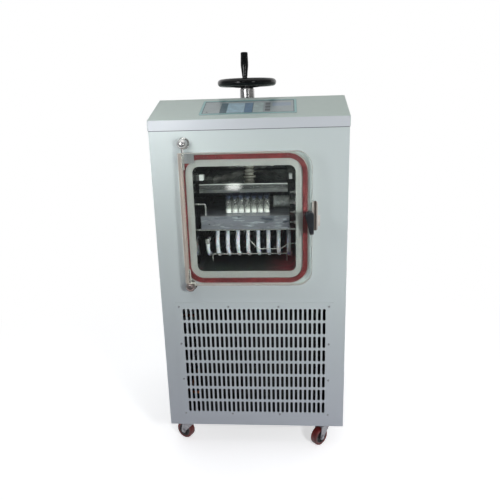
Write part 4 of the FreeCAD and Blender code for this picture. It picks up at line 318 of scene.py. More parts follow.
def chamber_steel():
    """Uneven polished sheet. Painted in are pale reflection streaks on the rear wall, painted shade on the
    dark bottom, the gasket's red cast at the lower right as a painted reflection, and the duller flange."""
    reflection_streak_slope = 0.21
    reflection_streak_lift = 4 * MM
    reflection_streak_wander = 8 * MM
    reflection_streak_edge = (11 * MM, 3 * MM)
    reflection_streak_fade = (100 * MM, -30 * MM, 0.35, 1.0)
    dark_bottom_span = (coil_low.z + 30 * MM, coil_low.z - 4 * MM)
    red_across = (30 * MM, 130 * MM)
    red_down = (coil_low.z + 70 * MM, coil_low.z - 20 * MM)
    flange_span = (front_sheet + 0.6 * MM, front_sheet - 0.2 * MM)

    steel = Finish("chamber_steel", (150, 152, 148), 0.1, 1.0)
    steel.gloss(steel.noise(24, 4.0), 0.06, 0.2)
    steel.tint(steel.noise(11, 4.0), (100, 100, 92), 0.4, 0.8)

    # Painted reflection: pale streaks on the rear wall, running up and out from the plunger.
    aside = steel.maths("SUBTRACT", steel.axis("X"), middle("press_plunger").x)
    rise = steel.maths("MULTIPLY", steel.maths("ABSOLUTE", aside), reflection_streak_slope)
    above = steel.maths("SUBTRACT", steel.axis("Z"), plate_top + reflection_streak_lift)
    wander = steel.ranged(steel.noise(18, 3.0), 0.3, 0.7, -reflection_streak_wander, reflection_streak_wander)
    reflection_streak = steel.maths("ADD", steel.maths("SUBTRACT", above, rise), wander)
    reflection_streaks = steel.ranged(steel.maths("ABSOLUTE", reflection_streak), *reflection_streak_edge)
    reflection_streaks = steel.maths("MULTIPLY", reflection_streaks, steel.ranged(aside, *reflection_streak_fade))
    reflection_streaks = steel.maths("MULTIPLY", reflection_streaks, steel.across("Y", 0.6, 0.9))
    steel.patch(reflection_streaks, Base_Color=(252, 252, 246), Metallic=0.0, Roughness=0.5)

    steel.relief(steel.noise(7, 2.0, distortion=0.8), 6 * MM, 0.5)
    # Pale upright mottling: uneven metal, and in part painted highlights.
    steel.tint(steel.noise(17, 5.0, (1, 1, 0.4), 1.2), (196, 198, 190), 0.56, 0.72)
    # Painted shade: the bottom under the coil is darker and rougher.
    dark_bottom = steel.ranged(steel.axis("Z"), *dark_bottom_span)
    steel.patch(dark_bottom, Base_Color=(66, 70, 64), Roughness=0.42)

    red = steel.maths("MULTIPLY", steel.ranged(steel.axis("X"), *red_across),
                      steel.ranged(steel.axis("Z"), *red_down))
    mottle = steel.ranged(steel.noise(30, 3.0, (1, 1, 0.3)), 0.3, 0.55, 0.4, 1.0)
    red = steel.maths("MULTIPLY", red, mottle)
    steel.patch(red, Base_Color=(158, 40, 56), Metallic=0.0, Roughness=0.5)
    flange = steel.ranged(steel.axis("Y"), *flange_span)
    steel.patch(flange, Base_Color=(174, 175, 171), Roughness=0.4, Metallic=0.35)
    return steel


def shelf_sheet():
    """Scuffed sheet, streaked pale and dark along its width; the pale streaks are also painted highlights."""
    steel = brushed("shelf_steel", (158, 160, 168), 0.34, (0.03, 1, 0.5), 0.75)
    # Pale streaks: scuffs, and in part painted highlights.
    steel.tint(steel.noise(150, 4.0, (0.16, 1, 1), 0.5), (214, 220, 228), 0.56, 0.7)
    steel.tint(steel.noise(46, 5.0, (0.4, 1, 1), 0.8), (92, 98, 108), 0.55, 0.7)
    return steel


def plate_sheet():
    """Press plate: wavy sides, a painted highlight along the top edge, and a smooth mirror on top painted
    darker as shade.
    """
    edge_highlight_span = (plate_top - 3.5 * MM, plate_top - 1.5 * MM)
    steel = brushed("press_plate_steel", (166, 168, 165), 0.27, (0.03, 1, 0.5))
    upward = steel.axis("Z", "Normal")
    not_top = steel.ranged(upward, 0.95, 0.8)
    waviness = steel.maths("MULTIPLY", steel.noise(12, 3.0, distortion=1.4), not_top)
    steel.relief(waviness, 8 * MM, 0.45)
    # Painted highlight: a pale line along the top edge.
    edge = steel.ranged(steel.axis("Z"), *edge_highlight_span)
    steel.patch(edge, Base_Color=(224, 225, 222), Metallic=0.2)
    # Painted shade: the smooth top face is darker than the sides.
    top_face = steel.ranged(upward, 0.8, 0.95)
    steel.patch(top_face, Base_Color=(138, 141, 139), Metallic=0.9, Roughness=0.12)
    return steel


def cradle_rod():
    """Bright rods on feet painted dark as shade."""
    foot_shade_span = (coil_low.z - 1 * MM, coil_low.z - 6 * MM)
    steel = polished("cradle_steel", (204, 204, 200), 0.2, 0.5)
    # Painted shade: the feet are dark where they stand on the chamber floor.
    foot = steel.ranged(steel.axis("Z"), *foot_shade_span)
    steel.patch(foot, Base_Color=(32, 34, 32), Roughness=0.45, Metallic=0.0)
    return steel


def hinge_chrome():
    """Chrome, with a darker, browner painted reflection on the lower hinge."""
    low_hinge_reflection = (660 * MM, 600 * MM)
    metal = polished("chrome", (212, 212, 210), 0.09, 0.8)
    # Painted reflection: darker and browner on the lower hinge.
    metal.patch(metal.ranged(metal.axis("Z"), *low_hinge_reflection), Base_Color=(132, 112, 108))
    return metal


def ringed_plunger():
    """Turned steel with rings up its length, painted dark in the grooves as shade."""
    steel = polished("plunger_steel", (232, 230, 218), 0.2, 0.3)
    steel.relief(steel.waves(26, "Z"), 3 * MM)
    # Painted shade in the grooves between the rings.
    steel.tint(steel.waves(26, "Z"), (120, 116, 104), 0.35, 0.15)
    return steel


def keeper_bar():
    """Polished bar: painted shade, dark in the groove up its middle and grey beside it; its flanks are less
    metallic so they stand pale, as painted highlights.
    """
    half_width = 8.75 * MM
    grey_shade_span = (4.8 * MM, 3.6 * MM)
    flank_highlight_span = (6.6 * MM, 7.4 * MM)
    groove_shade_span = (1.7 * MM, 0.8 * MM)
    metal = polished("keeper_steel", (232, 227, 220), 0.16, 0.55, 0.01 * MM)
    from_bar = metal.away("X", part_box("latch_keeper")[0].x + half_width)
    # Painted shade beside the groove and in it; the flanks are made less metallic to stand pale as painted
    # highlights.
    metal.patch(metal.ranged(from_bar, *grey_shade_span), Base_Color=(150, 140, 132))
    metal.patch(metal.ranged(from_bar, *flank_highlight_span), Metallic=0.15)
    metal.patch(metal.ranged(from_bar, *groove_shade_span), Base_Color=(34, 30, 28))
    return metal


def door_acrylic():
    """Clear slab with sawn edges; at the hinge side it is painted warmer and less clear, as the shade seen
    through it there.
    """
    hinge_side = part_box("door_plate")[0].x
    hinge_shade_span = (hinge_side + 15 * MM, hinge_side + 12 * MM)
    slab = Finish("clear_acrylic", (246, 250, 248), 0.0, Transmission_Weight=1.0, IOR=1.49)
    sawn = slab.across("Y", 0.9, 0.5)
    slab.gloss(slab.noise(300, 5.0, (1, 1, 0.1)), 0.0, 0.035)
    slab.patch(sawn, Roughness=0.35, Base_Color=(226, 224, 214), Transmission_Weight=0.35)
    # Painted shade: warmer and less clear near the hinge side.
    hinge_shade = slab.ranged(slab.axis("X"), *hinge_shade_span)
    clearness = slab.ranged(sawn, 0.0, 1.0, 0.55, 0.35)
    slab.patch(hinge_shade, Base_Color=(214, 206, 194), Transmission_Weight=clearness)
    slab.relief(slab.noise(4, 1.0), 0.8 * MM, 0.05)
    slab.clear_to_light((0.9, 0.92, 0.91, 1.0), sawn, (0.3, 0.3, 0.3, 1.0))
    return slab


def vial_glass():
    """Thin glass with faint upright streaks."""
    clear = Finish("vial_glass", (252, 252, 250), 0.0, Transmission_Weight=0.985, IOR=1.45)
    clear.relief(clear.noise(60, 2.0), 0.3 * MM, 0.12)
    clear.gloss(clear.noise(150, 3.0), 0.0, 0.04)
    streaks = clear.ranged(clear.noise(420, 3.0, (1, 1, 0.1)), 0.58, 0.68)
    clear.patch(streaks, Transmission_Weight=0.78)
    clear.clear_to_light((0.95, 0.96, 0.96, 1.0))
    return clear


def frosted_tube():
    """Frost on the coil's near side; the far side is painted dark glossy metal as its shade."""
    far_shade_span = (coil_low.y + 30 * MM, coil_low.y + 62 * MM)
    ice = Finish("frosted_tube", (236, 239, 245), 0.55, Subsurface_Weight=0.12, Subsurface_Scale=2 * MM)
    ice.tint(ice.noise(150, 5.0), (206, 212, 224), 0.45, 0.7)
    ice.relief(ice.noise(420, 5.0), 0.9 * MM, 0.7)
    ice.relief(ice.cells(520), 0.5 * MM, 0.4)
    ragged = ice.ranged(ice.noise(70, 4.0), 0.3, 0.7, -0.12, 0.12)
    # Painted shade: the coil's far side is dark.
    far_shade = ice.maths("ADD", ice.ranged(ice.axis("Y"), *far_shade_span), ragged)
    ice.patch(far_shade, Base_Color=(58, 62, 62), Roughness=0.3, Metallic=0.8, Subsurface_Weight=0.0)
    return ice


def white_nylon():
    """White block, painted dark at the outer end as shade where it meets the chamber's wall."""
    wall_shade_span = (145.5 * MM, 147 * MM)
    block = moulded("white_nylon", (236, 238, 236), 0.4, 400)
    # Painted shade where the block meets the chamber's wall.
    wall_shade = block.ranged(block.away("X", middle("vacuum_chamber").x), *wall_shade_span)
    block.patch(wall_shade, Base_Color=(62, 64, 62))
    return block


cabinet = cabinet_coat()
cover = cover_coat()
inner_sheet = powder_coat("inner_sheet_coat", (58, 60, 62), (50, 52, 54))
fins = moulded("radiator_black", (20, 18, 18), 0.6)
fins.relief(fins.waves(180, "Z"), 0.4 * MM, 0.7)

chamber = chamber_steel()
shelf_steel = shelf_sheet()
plate_steel = plate_sheet()
fitting_steel = polished("fitting_steel", (204, 204, 200), 0.2, 0.5)
cradle_steel = cradle_rod()
chrome = hinge_chrome()
plunger_steel = ringed_plunger()
hose_steel = polished("hose_steel", (244, 246, 245), 0.3, 0.25)
column_steel = polished("column_steel", (186, 185, 184), 0.2, 0.85)
column_steel.relief(column_steel.noise(140, 3.0, (1, 1, 9)), 0.06 * MM, 0.5)
keeper_steel = keeper_bar()
corner_steel = brushed("corner_plate_steel", (232, 232, 234), 0.3, (1, 1, 0.1), 0.15)
zinc = polished("zinc_plate", (138, 138, 143), 0.3, 0.6)
zinc.tint(zinc.cells(260), (164, 164, 168), 0.1, 0.9)
screw_zinc = polished("screw_zinc", (176, 180, 182), 0.34, 0.5)
copper = polished("copper", (196, 118, 82), 0.28)
copper.tint(copper.noise(22, 4.0), (128, 76, 54), 0.4, 0.8)

acrylic = door_acrylic()
glass = vial_glass()
frost = frosted_tube()
gasket = moulded("red_silicone", (102, 29, 31), 0.45, 300)
gasket.tint(gasket.noise(14, 3.0), (82, 23, 25), 0.4, 0.8)
cake = moulded("freeze_dried_cake", (250, 249, 244), 0.9, 900)
cake.relief(cake.cells(700), 0.6 * MM, 0.6)
stopper = moulded("stopper_rubber", (34, 42, 60), 0.32, Coat_Weight=0.3, Coat_Roughness=0.15)
mount_rubber = moulded("mount_rubber", (26, 27, 29), 0.6)
# Painted shadow: a dark strip for the shade under the cover's lip.
seam_shadow_black = moulded("painted_seam_shadow", (52, 56, 60), 0.7)
lead = moulded("sensor_lead", (206, 206, 202), 0.45)
heater = moulded("heater_mat", (150, 84, 48), 0.6)
heater.tint(heater.waves(28, "X"), (120, 66, 38), 0.3, 0.7)
white_block = white_nylon()
pin_black = moulded("blackened_pin", (24, 25, 26), 0.3)
gloss_black = moulded("gloss_black", (9, 11, 11), 0.16, 90, Specular_IOR_Level=0.32)
satin_black = moulded("satin_black", (30, 33, 37), 0.36, 500)
motor_black = moulded("motor_paint", (34, 35, 37), 0.35, 220)
hub_black = moulded("hub_black", (38, 32, 33), 0.45, 300)
tread = moulded("red_tread", (104, 32, 30), 0.42, 260)
tread.tint(tread.noise(26, 4.0), (66, 28, 26), 0.4, 0.75)

film = membrane("console_film", (150, 163, 164))
film_border = membrane("console_border", (138, 188, 186))
film_line = membrane("console_line", (44, 92, 94))
film_band = membrane("console_band", (134, 154, 170))
bezel = membrane("screen_bezel", (76, 104, 114), 0.4)
dark_key = membrane("console_dark", (92, 98, 102))
screen_light = screen_field("screen_light", (160, 190, 202))
screen_mid = screen_field("screen_mid", (88, 122, 150))
screen_grey = screen_field("screen_grey", (164, 182, 180))

NODE_FINISHES = {
    cabinet: ("front_panel", "left_side_panel", "right_side_panel", "rear_panel", "grille_panel"),
    cover: ("top_cover",),
    inner_sheet: ("base_tray", "cabinet_frame", "radiator_stand", "electrical_box", "fan_shroud"),
    chamber: ("vacuum_chamber",),
    shelf_steel: ("shelf",),
    plate_steel: ("press_plate",),
    fitting_steel: ("chamber_fittings", "latch_shaft"),
    cradle_steel: ("coil_cradle",),
    chrome: ("hinge_posts", "hinge_pins", "press_screw"),
    plunger_steel: ("press_plunger",),
    pin_black: ("crank_pin",),
    column_steel: ("press_column", "vacuum_port"),
    keeper_steel: ("latch_keeper",),
    corner_steel: ("door_corner_plate",),
    gasket: ("door_gasket",),
    acrylic: ("door_plate",),
    lead: ("sensor_lead",),
    heater: ("shelf_heater",),
    film: ("console_overlay",),
    bezel: ("display_module",),
    gloss_black: ("crank_grip",),
    satin_black: ("latch_lever", "power_inlet", "fan_rotor"),
    mount_rubber: ("compressor_mounts",),
    motor_black: ("fan_motor", "compressor"),
    fins: ("radiator",),
    copper: ("refrigerant_pipes", "filter_drier", "drain_pipe"),
    zinc: ["caster_mounts"] + ["caster_fork_" + corner for corner in CORNERS],
    white_block: ("plate_guides",),
}
for finish, names in NODE_FINISHES.items():
    for name in names:
        nodes[name].material_slots[0].material = finish.material


# ---- mesh building ------------------------------------------------------------------------------
FROST_GRAIN = 260


class Piece:
    """Collects the points and faces of one piece, then makes it and hangs it on its body."""

    def __init__(self):
        self.points = []
        self.faces = []

    def take(self, points, faces, place=Matrix.Identity(4)):
        base = len(self.points)
        self.points += [place @ Vector(point) for point in points]
        self.faces += [[base + index for index in face] for face in faces]

    def tube_of_rings(self, rings, place=Matrix.Identity(4), capped=True):
        """Skin over rings of equally many points."""
        count = len(rings[0])
        faces = []
        for level in range(len(rings) - 1):
            low = level * count
            for step in range(count):
                after = (step + 1) % count
                faces.append((low + step, low + after, low + count + after, low + count + step))
        if capped:
            faces.append(range(count - 1, -1, -1))
            last = (len(rings) - 1) * count
            faces.append(range(last, last + count))
        self.take([point for ring in rings for point in ring], faces, place)

    def lathe(self, profile, steps, place=Matrix.Identity(4)):
        """Turn (radius, height) pairs about Z; a radius of nothing at either end closes to a point."""
        start = 1 if profile[0][0] == 0 else 0
        end = len(profile) - 1 if profile[-1][0] == 0 else len(profile)
        rings = []
        for radius, height in profile[start:end]:
            rings.append([
                (radius * math.cos(TAU * step / steps), radius * math.sin(TAU * step / steps), height)
                for step in range(steps)
            ])
        base = len(self.points)
        self.tube_of_rings(rings, place, capped=False)
        last = base + (len(rings) - 1) * steps
        if start:
            self.points.append(place @ Vector((0, 0, profile[0][1])))
            pole = len(self.points) - 1
            self.faces += [(pole, base + (step + 1) % steps, base + step) for step in range(steps)]
        if end < len(profile):
            self.points.append(place @ Vector((0, 0, profile[-1][1])))
            pole = len(self.points) - 1
            self.faces += [(pole, last + step, last + (step + 1) % steps) for step in range(steps)]

    def sweep(self, path, radius, steps, wobble=0.0):
        """Round tube along points; wobble is how far frost or wear pulls its skin in."""
        rings = []
        side = None
        for index, point in enumerate(path):
            ahead = path[min(index + 1, len(path) - 1)] - path[max(index - 1, 0)]
            ahead.normalize()
            if side is None:
                side = ahead.orthogonal().normalized()
            side = (side - ahead * side.dot(ahead)).normalized()
            up = ahead.cross(side)
            ring = []
            for step in range(steps):
                angle = TAU * step / steps
                out = side * math.cos(angle) + up * math.sin(angle)
                skin = noise.noise((point + out * radius) * FROST_GRAIN)
                ring.append(point + out * (radius - wobble * (0.5 + 0.5 * skin)))
            rings.append(ring)
        self.tube_of_rings(rings)

    def make(self, name, finish, body, slot, replaces=(), angle=30):
        mesh = bpy.data.meshes.new(name)
        mesh.from_pydata(self.points, [], self.faces)
        mesh.update()
        hang(name, mesh, finish, body, replaces, angle)


def hang(name, mesh, finish, body, replaces, angle):
    """Make a piece of a mesh: its finish, its body and the CAD nodes that it stands for."""
    mesh.shade_smooth()
    mesh.set_sharp_from_angle(angle=math.radians(angle))
    piece = bpy.data.objects.new(name, mesh)
    scene.collection.objects.link(piece)
    mesh.materials.clear()
    mesh.materials.append(finish.material)
    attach(piece, body)
    if replaces:
        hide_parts(*replaces)


def scaled(profile):
    """A profile given in millimetres, in metres."""
    return [(radius * MM, height * MM) for radius, height in profile]


def rounded_outline(x0, x1, y0, y1, radius, steps=5):
    """Corner-rounded rectangle as points, anticlockwise."""
    outline = []
    for x, y, turn in ((x1, y0, -90), (x1, y1, 0), (x0, y1, 90), (x0, y0, 180)):
        centre_x = x - radius if x == x1 else x + radius
        centre_y = y - radius if y == y1 else y + radius
        for step in range(steps + 1):
            angle = math.radians(turn + 90 * step / steps)
            outline.append((centre_x + radius * math.cos(angle), centre_y + radius * math.sin(angle)))
    return outline


def slab(piece, outline, low, high, place, ease=0.0):
    """Flat plate of an outline between two heights, its top edge eased."""
    centre = Vector((sum(x for x, y in outline), sum(y for x, y in outline))) / len(outline)
    inner = []
    for x, y in outline:
        inward = centre - Vector((x, y))
        inward.normalize()
        inner.append((x + inward.x * ease, y + inward.y * ease))
    rings = [
        [(x, y, low) for x, y in outline],
        [(x, y, high - ease) for x, y in outline],
        [(x, y, high) for x, y in inner],
    ]
    piece.tube_of_rings(rings, place)


# ---- vials, cakes and stoppers ------------------------------------------------------------------
VIAL_RADIUS = 10.25
VIAL_COLUMNS = 7
VIAL_ROWS = 5
CAKE_RADIUS = 8.9
CAKE_FLOOR = 1.5
CAKE_HEIGHT = (11.2, 11.9)
CAKE_ROUGHNESS = 0.12
CAKE_LEAN = 0.35
CRACK_DEPTH = 0.9
CRACK_HALF_ANGLE = 0.25
vial_low, vial_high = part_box("vials")
pitch_x = (vial_high.x - vial_low.x - 2 * VIAL_RADIUS * MM) / (VIAL_COLUMNS - 1)
pitch_y = (vial_high.y - vial_low.y - 2 * VIAL_RADIUS * MM) / (VIAL_ROWS - 1)
VIAL_PROFILE = [
    (0, 0.7), (5.5, 0.6), (8.0, 0.05), (9.3, 0.2), (10.0, 0.8), (10.25, 1.8), (10.25, 33.8), (10.1, 35.0),
    (9.5, 36.4), (8.6, 37.6), (7.9, 38.5), (7.55, 39.6), (7.5, 41.0), (7.5, 44.6), (8.2, 45.0),
    (8.8, 45.5), (9.0, 46.2), (9.0, 48.1), (8.7, 48.8), (7.9, 49.0), (6.9, 48.9), (6.4, 48.4), (6.3, 47.4),
    (6.3, 40.2), (6.6, 39.0), (7.6, 37.7), (8.5, 36.4), (8.95, 35.0), (9.05, 33.6), (9.05, 2.8), (8.6, 1.9),
    (7.4, 1.4), (0, 1.5),
]
STOPPER_PROFILE = [
    (0, 44.2), (4.6, 44.1), (5.6, 44.4), (6.1, 45.2), (6.2, 47.0), (6.2, 53.5), (8.6, 53.5), (8.95, 53.9),
    (9.0, 54.6), (9.0, 56.0), (8.8, 56.7), (8.2, 57.0), (6.6, 57.0), (6.2, 56.7), (5.9, 56.3), (4.2, 56.2),
    (3.8, 56.6), (3.2, 56.8), (0, 56.8),
]


def cake_rings(rng, steps):
    """Rings of one dried cake: it has shrunk a little from the glass and its top is cracked."""
    height = rng.uniform(*CAKE_HEIGHT)
    crack = rng.uniform(0, TAU)
    lean = rng.uniform(0, TAU)
    levels = [(1.0, 0.0), (1.0, 0.55), (0.985, 0.9), (0.93, 1.0), (0.7, 0.975), (0.4, 0.96), (0.15, 0.955)]
    rings = []
    for share, level in levels:
        ring = []
        for step in range(steps):
            angle = TAU * step / steps
            radius = CAKE_RADIUS * share - CAKE_ROUGHNESS * rng.random()
            top = height * level
            if level > 0.9:
                away = abs((angle - crack + math.pi) % TAU - math.pi)
                top -= CRACK_DEPTH * max(0.0, 1 - away / CRACK_HALF_ANGLE)
                top += CAKE_LEAN * math.cos(angle - lean) * share - CAKE_LEAN
            ring.append((radius * math.cos(angle) * MM, radius * math.sin(angle) * MM, top * MM))
        rings.append(ring)
    return rings


vials, cakes, stoppers = Piece(), Piece(), Piece()
vial_rng = random.Random(35)
for row in range(VIAL_ROWS):
    for column in range(VIAL_COLUMNS):
        foot = Vector((vial_low.x + VIAL_RADIUS * MM + column * pitch_x,
                       vial_low.y + VIAL_RADIUS * MM + row * pitch_y, vial_low.z))
        stand = Matrix.Translation(foot) @ Matrix.Rotation(vial_rng.uniform(0, TAU), 4, "Z")
        vials.lathe(scaled(VIAL_PROFILE), 28, stand)
        cakes.tube_of_rings(cake_rings(vial_rng, 24), Matrix.Translation((0, 0, CAKE_FLOOR * MM)) @ stand)
        stoppers.lathe(scaled(STOPPER_PROFILE), 24, stand)
vials.make("glass_vials", glass, "cabinet", "vial_glass", ["vials"], 50)
cakes.make("cracked_cakes", cake, "cabinet", "dried_cake", ["dried_cakes"], 50)
stoppers.make("rubber_stoppers", stopper, "cabinet", "stopper_rubber", ["vial_stoppers"], 40)

# ---- condenser coil -----------------------------------------------------------------------------
COIL_RADIUS = 47 * MM
TUBE_RADIUS = 7 * MM
UNION_RADIUS = 9.5 * MM
TURNS = 8.25
PITCH = 34 * MM
ELBOW_RADIUS = 8.5 * MM
ELBOW_LENGTH = 17 * MM
STEPS_PER_TURN = 48
TAIL_STEPS = 40
FROST_WOBBLE = 0.5 * MM
UNION_BACK = 6 * MM
coil_z = coil_high.z - COIL_RADIUS - TUBE_RADIUS
coil_y = coil_low.y + COIL_RADIUS + ELBOW_RADIUS


def coil_advance(angle):
    """How far a turn has moved sideways: the near halves hang flat, the far halves take the pitch."""
    return PITCH * (angle - math.sin(angle)) / TAU


coil_first = coil_high.x - UNION_RADIUS - coil_advance(TURNS * TAU)
helix = []
for step in range(int(TURNS * STEPS_PER_TURN) + 1):
    angle = TAU * step / STEPS_PER_TURN
    helix.append(Vector((coil_first + coil_advance(angle),
                         coil_y - COIL_RADIUS * math.cos(angle), coil_z - COIL_RADIUS * math.sin(angle))))
elbow = helix[0] + Vector((0, 0, ELBOW_LENGTH / 2))
tails = []
for start in (elbow, helix[-1]):
    run = Vector((0, coil_high.y - start.y, 0))
    tails.append([start + run * step / TAIL_STEPS for step in range(TAIL_STEPS + 1)])
coil = Piece()
coil.sweep(helix + tails[1], TUBE_RADIUS, 20, FROST_WOBBLE)
coil.sweep(tails[0], TUBE_RADIUS, 20, FROST_WOBBLE)
coil.make("frosted_coil", frost, "cabinet", "frosted_tube", ["condenser_coil"], 60)

UNION_PROFILE = [(7.0, 0), (8.8, 0), (9.5, 0.8), (9.5, 7.4), (8.6, 8.2), (8.6, 9.8), (9.5, 10.6), (9.5, 17.2),
                 (8.8, 18.0), (7.0, 18.0)]
ELBOW_PROFILE = [(6.9, 0), (7.9, 0), (8.5, 0.6), (8.5, 15.6), (8.0, 16.6), (7.0, 17.0), (0, 17.0)]
unions = Piece()
lay = Matrix.Translation(helix[-1] - Vector((0, UNION_BACK, 0))) @ Matrix.Rotation(-math.pi / 2, 4, "X")
unions.lathe(scaled(UNION_PROFILE), 24, lay)
unions.lathe(scaled(ELBOW_PROFILE), 24, Matrix.Translation(helix[0]))
unions.make("coil_unions", fitting_steel, "cabinet", "stainless")

# ---- shelf hose ---------------------------------------------------------------------------------
HOSE_RIBS = 11
HOSE_LENGTH = 56.0
HOSE_RADIUS = 22.0
HOSE_WAVE = 3.5
HOSE_TAIL = 8.0
HOSE_STEPS = HOSE_RIBS * 8
hose_low, hose_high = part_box("shelf_hose")
hose_profile = [(0, 0)]
for step in range(HOSE_STEPS + 1):
    share = step / HOSE_STEPS
    radius = HOSE_RADIUS - HOSE_WAVE * (0.5 + 0.5 * math.cos(TAU * HOSE_RIBS * share))
    hose_profile.append((radius, HOSE_LENGTH * share))
hose_length = (hose_high.x - hose_low.x) / MM
hose_profile += [(HOSE_TAIL + 1, HOSE_LENGTH + 0.1), (HOSE_TAIL, HOSE_LENGTH + 1), (HOSE_TAIL, hose_length),
                 (0, hose_length)]
hose = Piece()
hose_end = Vector((hose_low.x, *middle("shelf_hose").yz))
hose.lathe(scaled(hose_profile), 40, Matrix.Translation(hose_end) @ Matrix.Rotation(math.pi / 2, 4, "Y"))
hose.make("corrugated_hose", hose_steel, "cabinet", "stainless", ["shelf_hose"], 50)

# ---- handwheel ----------------------------------------------------------------------------------
WHEEL_OUTER = 97.5 * MM
RIM_RADIUS = 12 * MM
RIM_STEPS = 96
RIM_SIDES = 24
SPOKES = 3
SPOKE_RADIUS = 7 * MM
SPOKE_STEPS = 12
SPOKE_SAG = 3 * MM
SPOKE_START = 10 * MM
SPOKE_RISE = 9 * MM             # above the hub's underside
SPOKE_SINK = 2 * MM             # short of the rim's middle
SPOKE_DROP = 1 * MM             # below the rim's middle
FUSE_VOXEL = 1.4 * MM
wheel_low, wheel_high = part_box("handwheel")
rim_z = wheel_high.z - RIM_RADIUS
wheel_x, wheel_y = middle("handwheel").xy
rim_centre = WHEEL_OUTER - RIM_RADIUS
wheel_place = Matrix.Translation((wheel_x, wheel_y, 0))
wheel = Piece()
rim_rings = []
for step in range(RIM_STEPS):
    turn = TAU * step / RIM_STEPS
    ring = []
    for part in range(RIM_SIDES):
        angle = TAU * part / RIM_SIDES
        radius = rim_centre + RIM_RADIUS * math.cos(angle)
        ring.append((radius * math.cos(turn), radius * math.sin(turn), rim_z + RIM_RADIUS * math.sin(angle)))
    rim_rings.append(ring)
wheel.tube_of_rings(rim_rings + rim_rings[:1], wheel_place, capped=False)
hub_low = wheel_low.z / MM
HUB_PROFILE = [(0, 0), (20.5, 0), (22, 1.5), (22, 9), (20.5, 15), (17.5, 20), (15, 21.8), (0, 22)]
wheel.lathe([(radius * MM, (hub_low + height) * MM) for radius, height in HUB_PROFILE], 40, wheel_place)
for spoke in range(SPOKES):
    turn = TAU * (0.25 + spoke / SPOKES)
    along = Vector((math.cos(turn), math.sin(turn), 0))
    start = along * SPOKE_START + Vector((wheel_x, wheel_y, wheel_low.z + SPOKE_RISE))
    end = along * (rim_centre - SPOKE_SINK) + Vector((wheel_x, wheel_y, rim_z - SPOKE_DROP))
    path = []
    for step in range(SPOKE_STEPS + 1):
        share = step / SPOKE_STEPS
        path.append(start.lerp(end, share) - Vector((0, 0, SPOKE_SAG * math.sin(math.pi * share))))
    wheel.sweep(path, SPOKE_RADIUS, 20)
raw = bpy.data.meshes.new("wheel_raw")
raw.from_pydata(wheel.points, [], wheel.faces)
raw_object = bpy.data.objects.new("wheel_raw", raw)
scene.collection.objects.link(raw_object)
remesh = raw_object.modifiers.new("fuse", "REMESH")
remesh.mode = "VOXEL"
remesh.voxel_size = FUSE_VOXEL
soften = raw_object.modifiers.new("soften", "SMOOTH")
soften.factor = 0.5
soften.iterations = 6
depsgraph = bpy.context.evaluated_depsgraph_get()
wheel_mesh = bpy.data.meshes.new_from_object(raw_object.evaluated_get(depsgraph))
wheel_mesh.name = "black_handwheel"
bpy.data.objects.remove(raw_object)
hang("black_handwheel", wheel_mesh, gloss_black, "wheel", ["handwheel"], 80)

# ---- casters ------------------------------------------------------------------------------------
TREAD_PROFILE = [(22.6, -11.2), (24, -11.6), (28, -11.9), (30, -11.4), (31, -10), (31.3, -7.5), (31.45, -3),
                 (31.45, 3), (31.3, 7.5), (31, 10), (30, 11.4), (28, 11.9), (24, 11.6), (22.6, 11.2)]
HUB_HALF = [(4.3, 12.0), (8.0, 12.0), (8.4, 11.4), (8.4, 8.2), (19.2, 8.2), (19.8, 10.8), (22.8, 11.3)]
HUB_LOOP = HUB_HALF + [(radius, -height) for radius, height in HUB_HALF[::-1]]
HUB_RIBS = 8
RIB_START, RIB_END = 8.2 * MM, 19.6 * MM
RIB_HALF = 0.9 * MM
RIB_CORNER = 0.3 * MM
RIB_INNER, RIB_OUTER = 8.0 * MM, 10.9 * MM
rib_outline = rounded_outline(RIB_START, RIB_END, -RIB_HALF, RIB_HALF, RIB_CORNER, 2)
for corner in CORNERS:
    joint = joints["roll_" + corner]
    aim = Vector((0, 0, 1)).rotation_difference(Vector(joint["axis"])).to_matrix().to_4x4()
    stand = Matrix.Translation(joint["pos_m"]) @ aim
    tyre = Piece()
    tyre.lathe(scaled(TREAD_PROFILE + TREAD_PROFILE[:1]), 72, stand)
    body = "roller_" + corner
    tyre.make("tread_" + corner, tread, body, "red_tread", ["caster_wheel_" + corner])
    hub = Piece()
    hub.lathe(scaled(HUB_LOOP + HUB_LOOP[:1]), 48, stand)
    for rib in range(HUB_RIBS):
        turn = Matrix.Rotation(TAU * rib / HUB_RIBS, 4, "Z")
        for low, high in ((-RIB_OUTER, -RIB_INNER), (RIB_INNER, RIB_OUTER)):
            slab(hub, rib_outline, low, high, stand @ turn)
    hub.make("hub_" + corner, hub_black, body, "black_plastic")

# ---- grille screws ------------------------------------------------------------------------------
SCREW_PROFILE = [(2.0, 8.0), (2.0, 0.0), (3.6, 0.0), (3.6, -0.7), (3.4, -1.25), (2.9, -1.65), (2.2, -1.9),
                 (1.7, -1.95), (1.2, -1.97), (0.7, -1.98), (0.3, -1.98)]
HEAD_RADIUS = 3.6 * MM
HEAD_HEIGHT = 2.0 * MM
SCREW_STEPS = 32
CROSS_HALF_WIDTH = 0.42
CROSS_REACH = 2.3
CROSS_DEPTH = 1.1
DOME_START = -1.5               # heights fall towards the front
grille_low, grille_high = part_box("grille_screws")
head_y = grille_low.y + HEAD_HEIGHT
left, right = grille_low.x + HEAD_RADIUS, grille_high.x - HEAD_RADIUS
bottom, top = grille_low.z + HEAD_RADIUS, grille_high.z - HEAD_RADIUS
places = []
for step in range(4):
    x = left + (right - left) * step / 3
    z = bottom + (top - bottom) * step / 3
    places += [(x, bottom), (x, top)]
    if step in (1, 2):
        places += [(left, z), (right, z)]
screws = Piece()
screw_rng = random.Random(12)
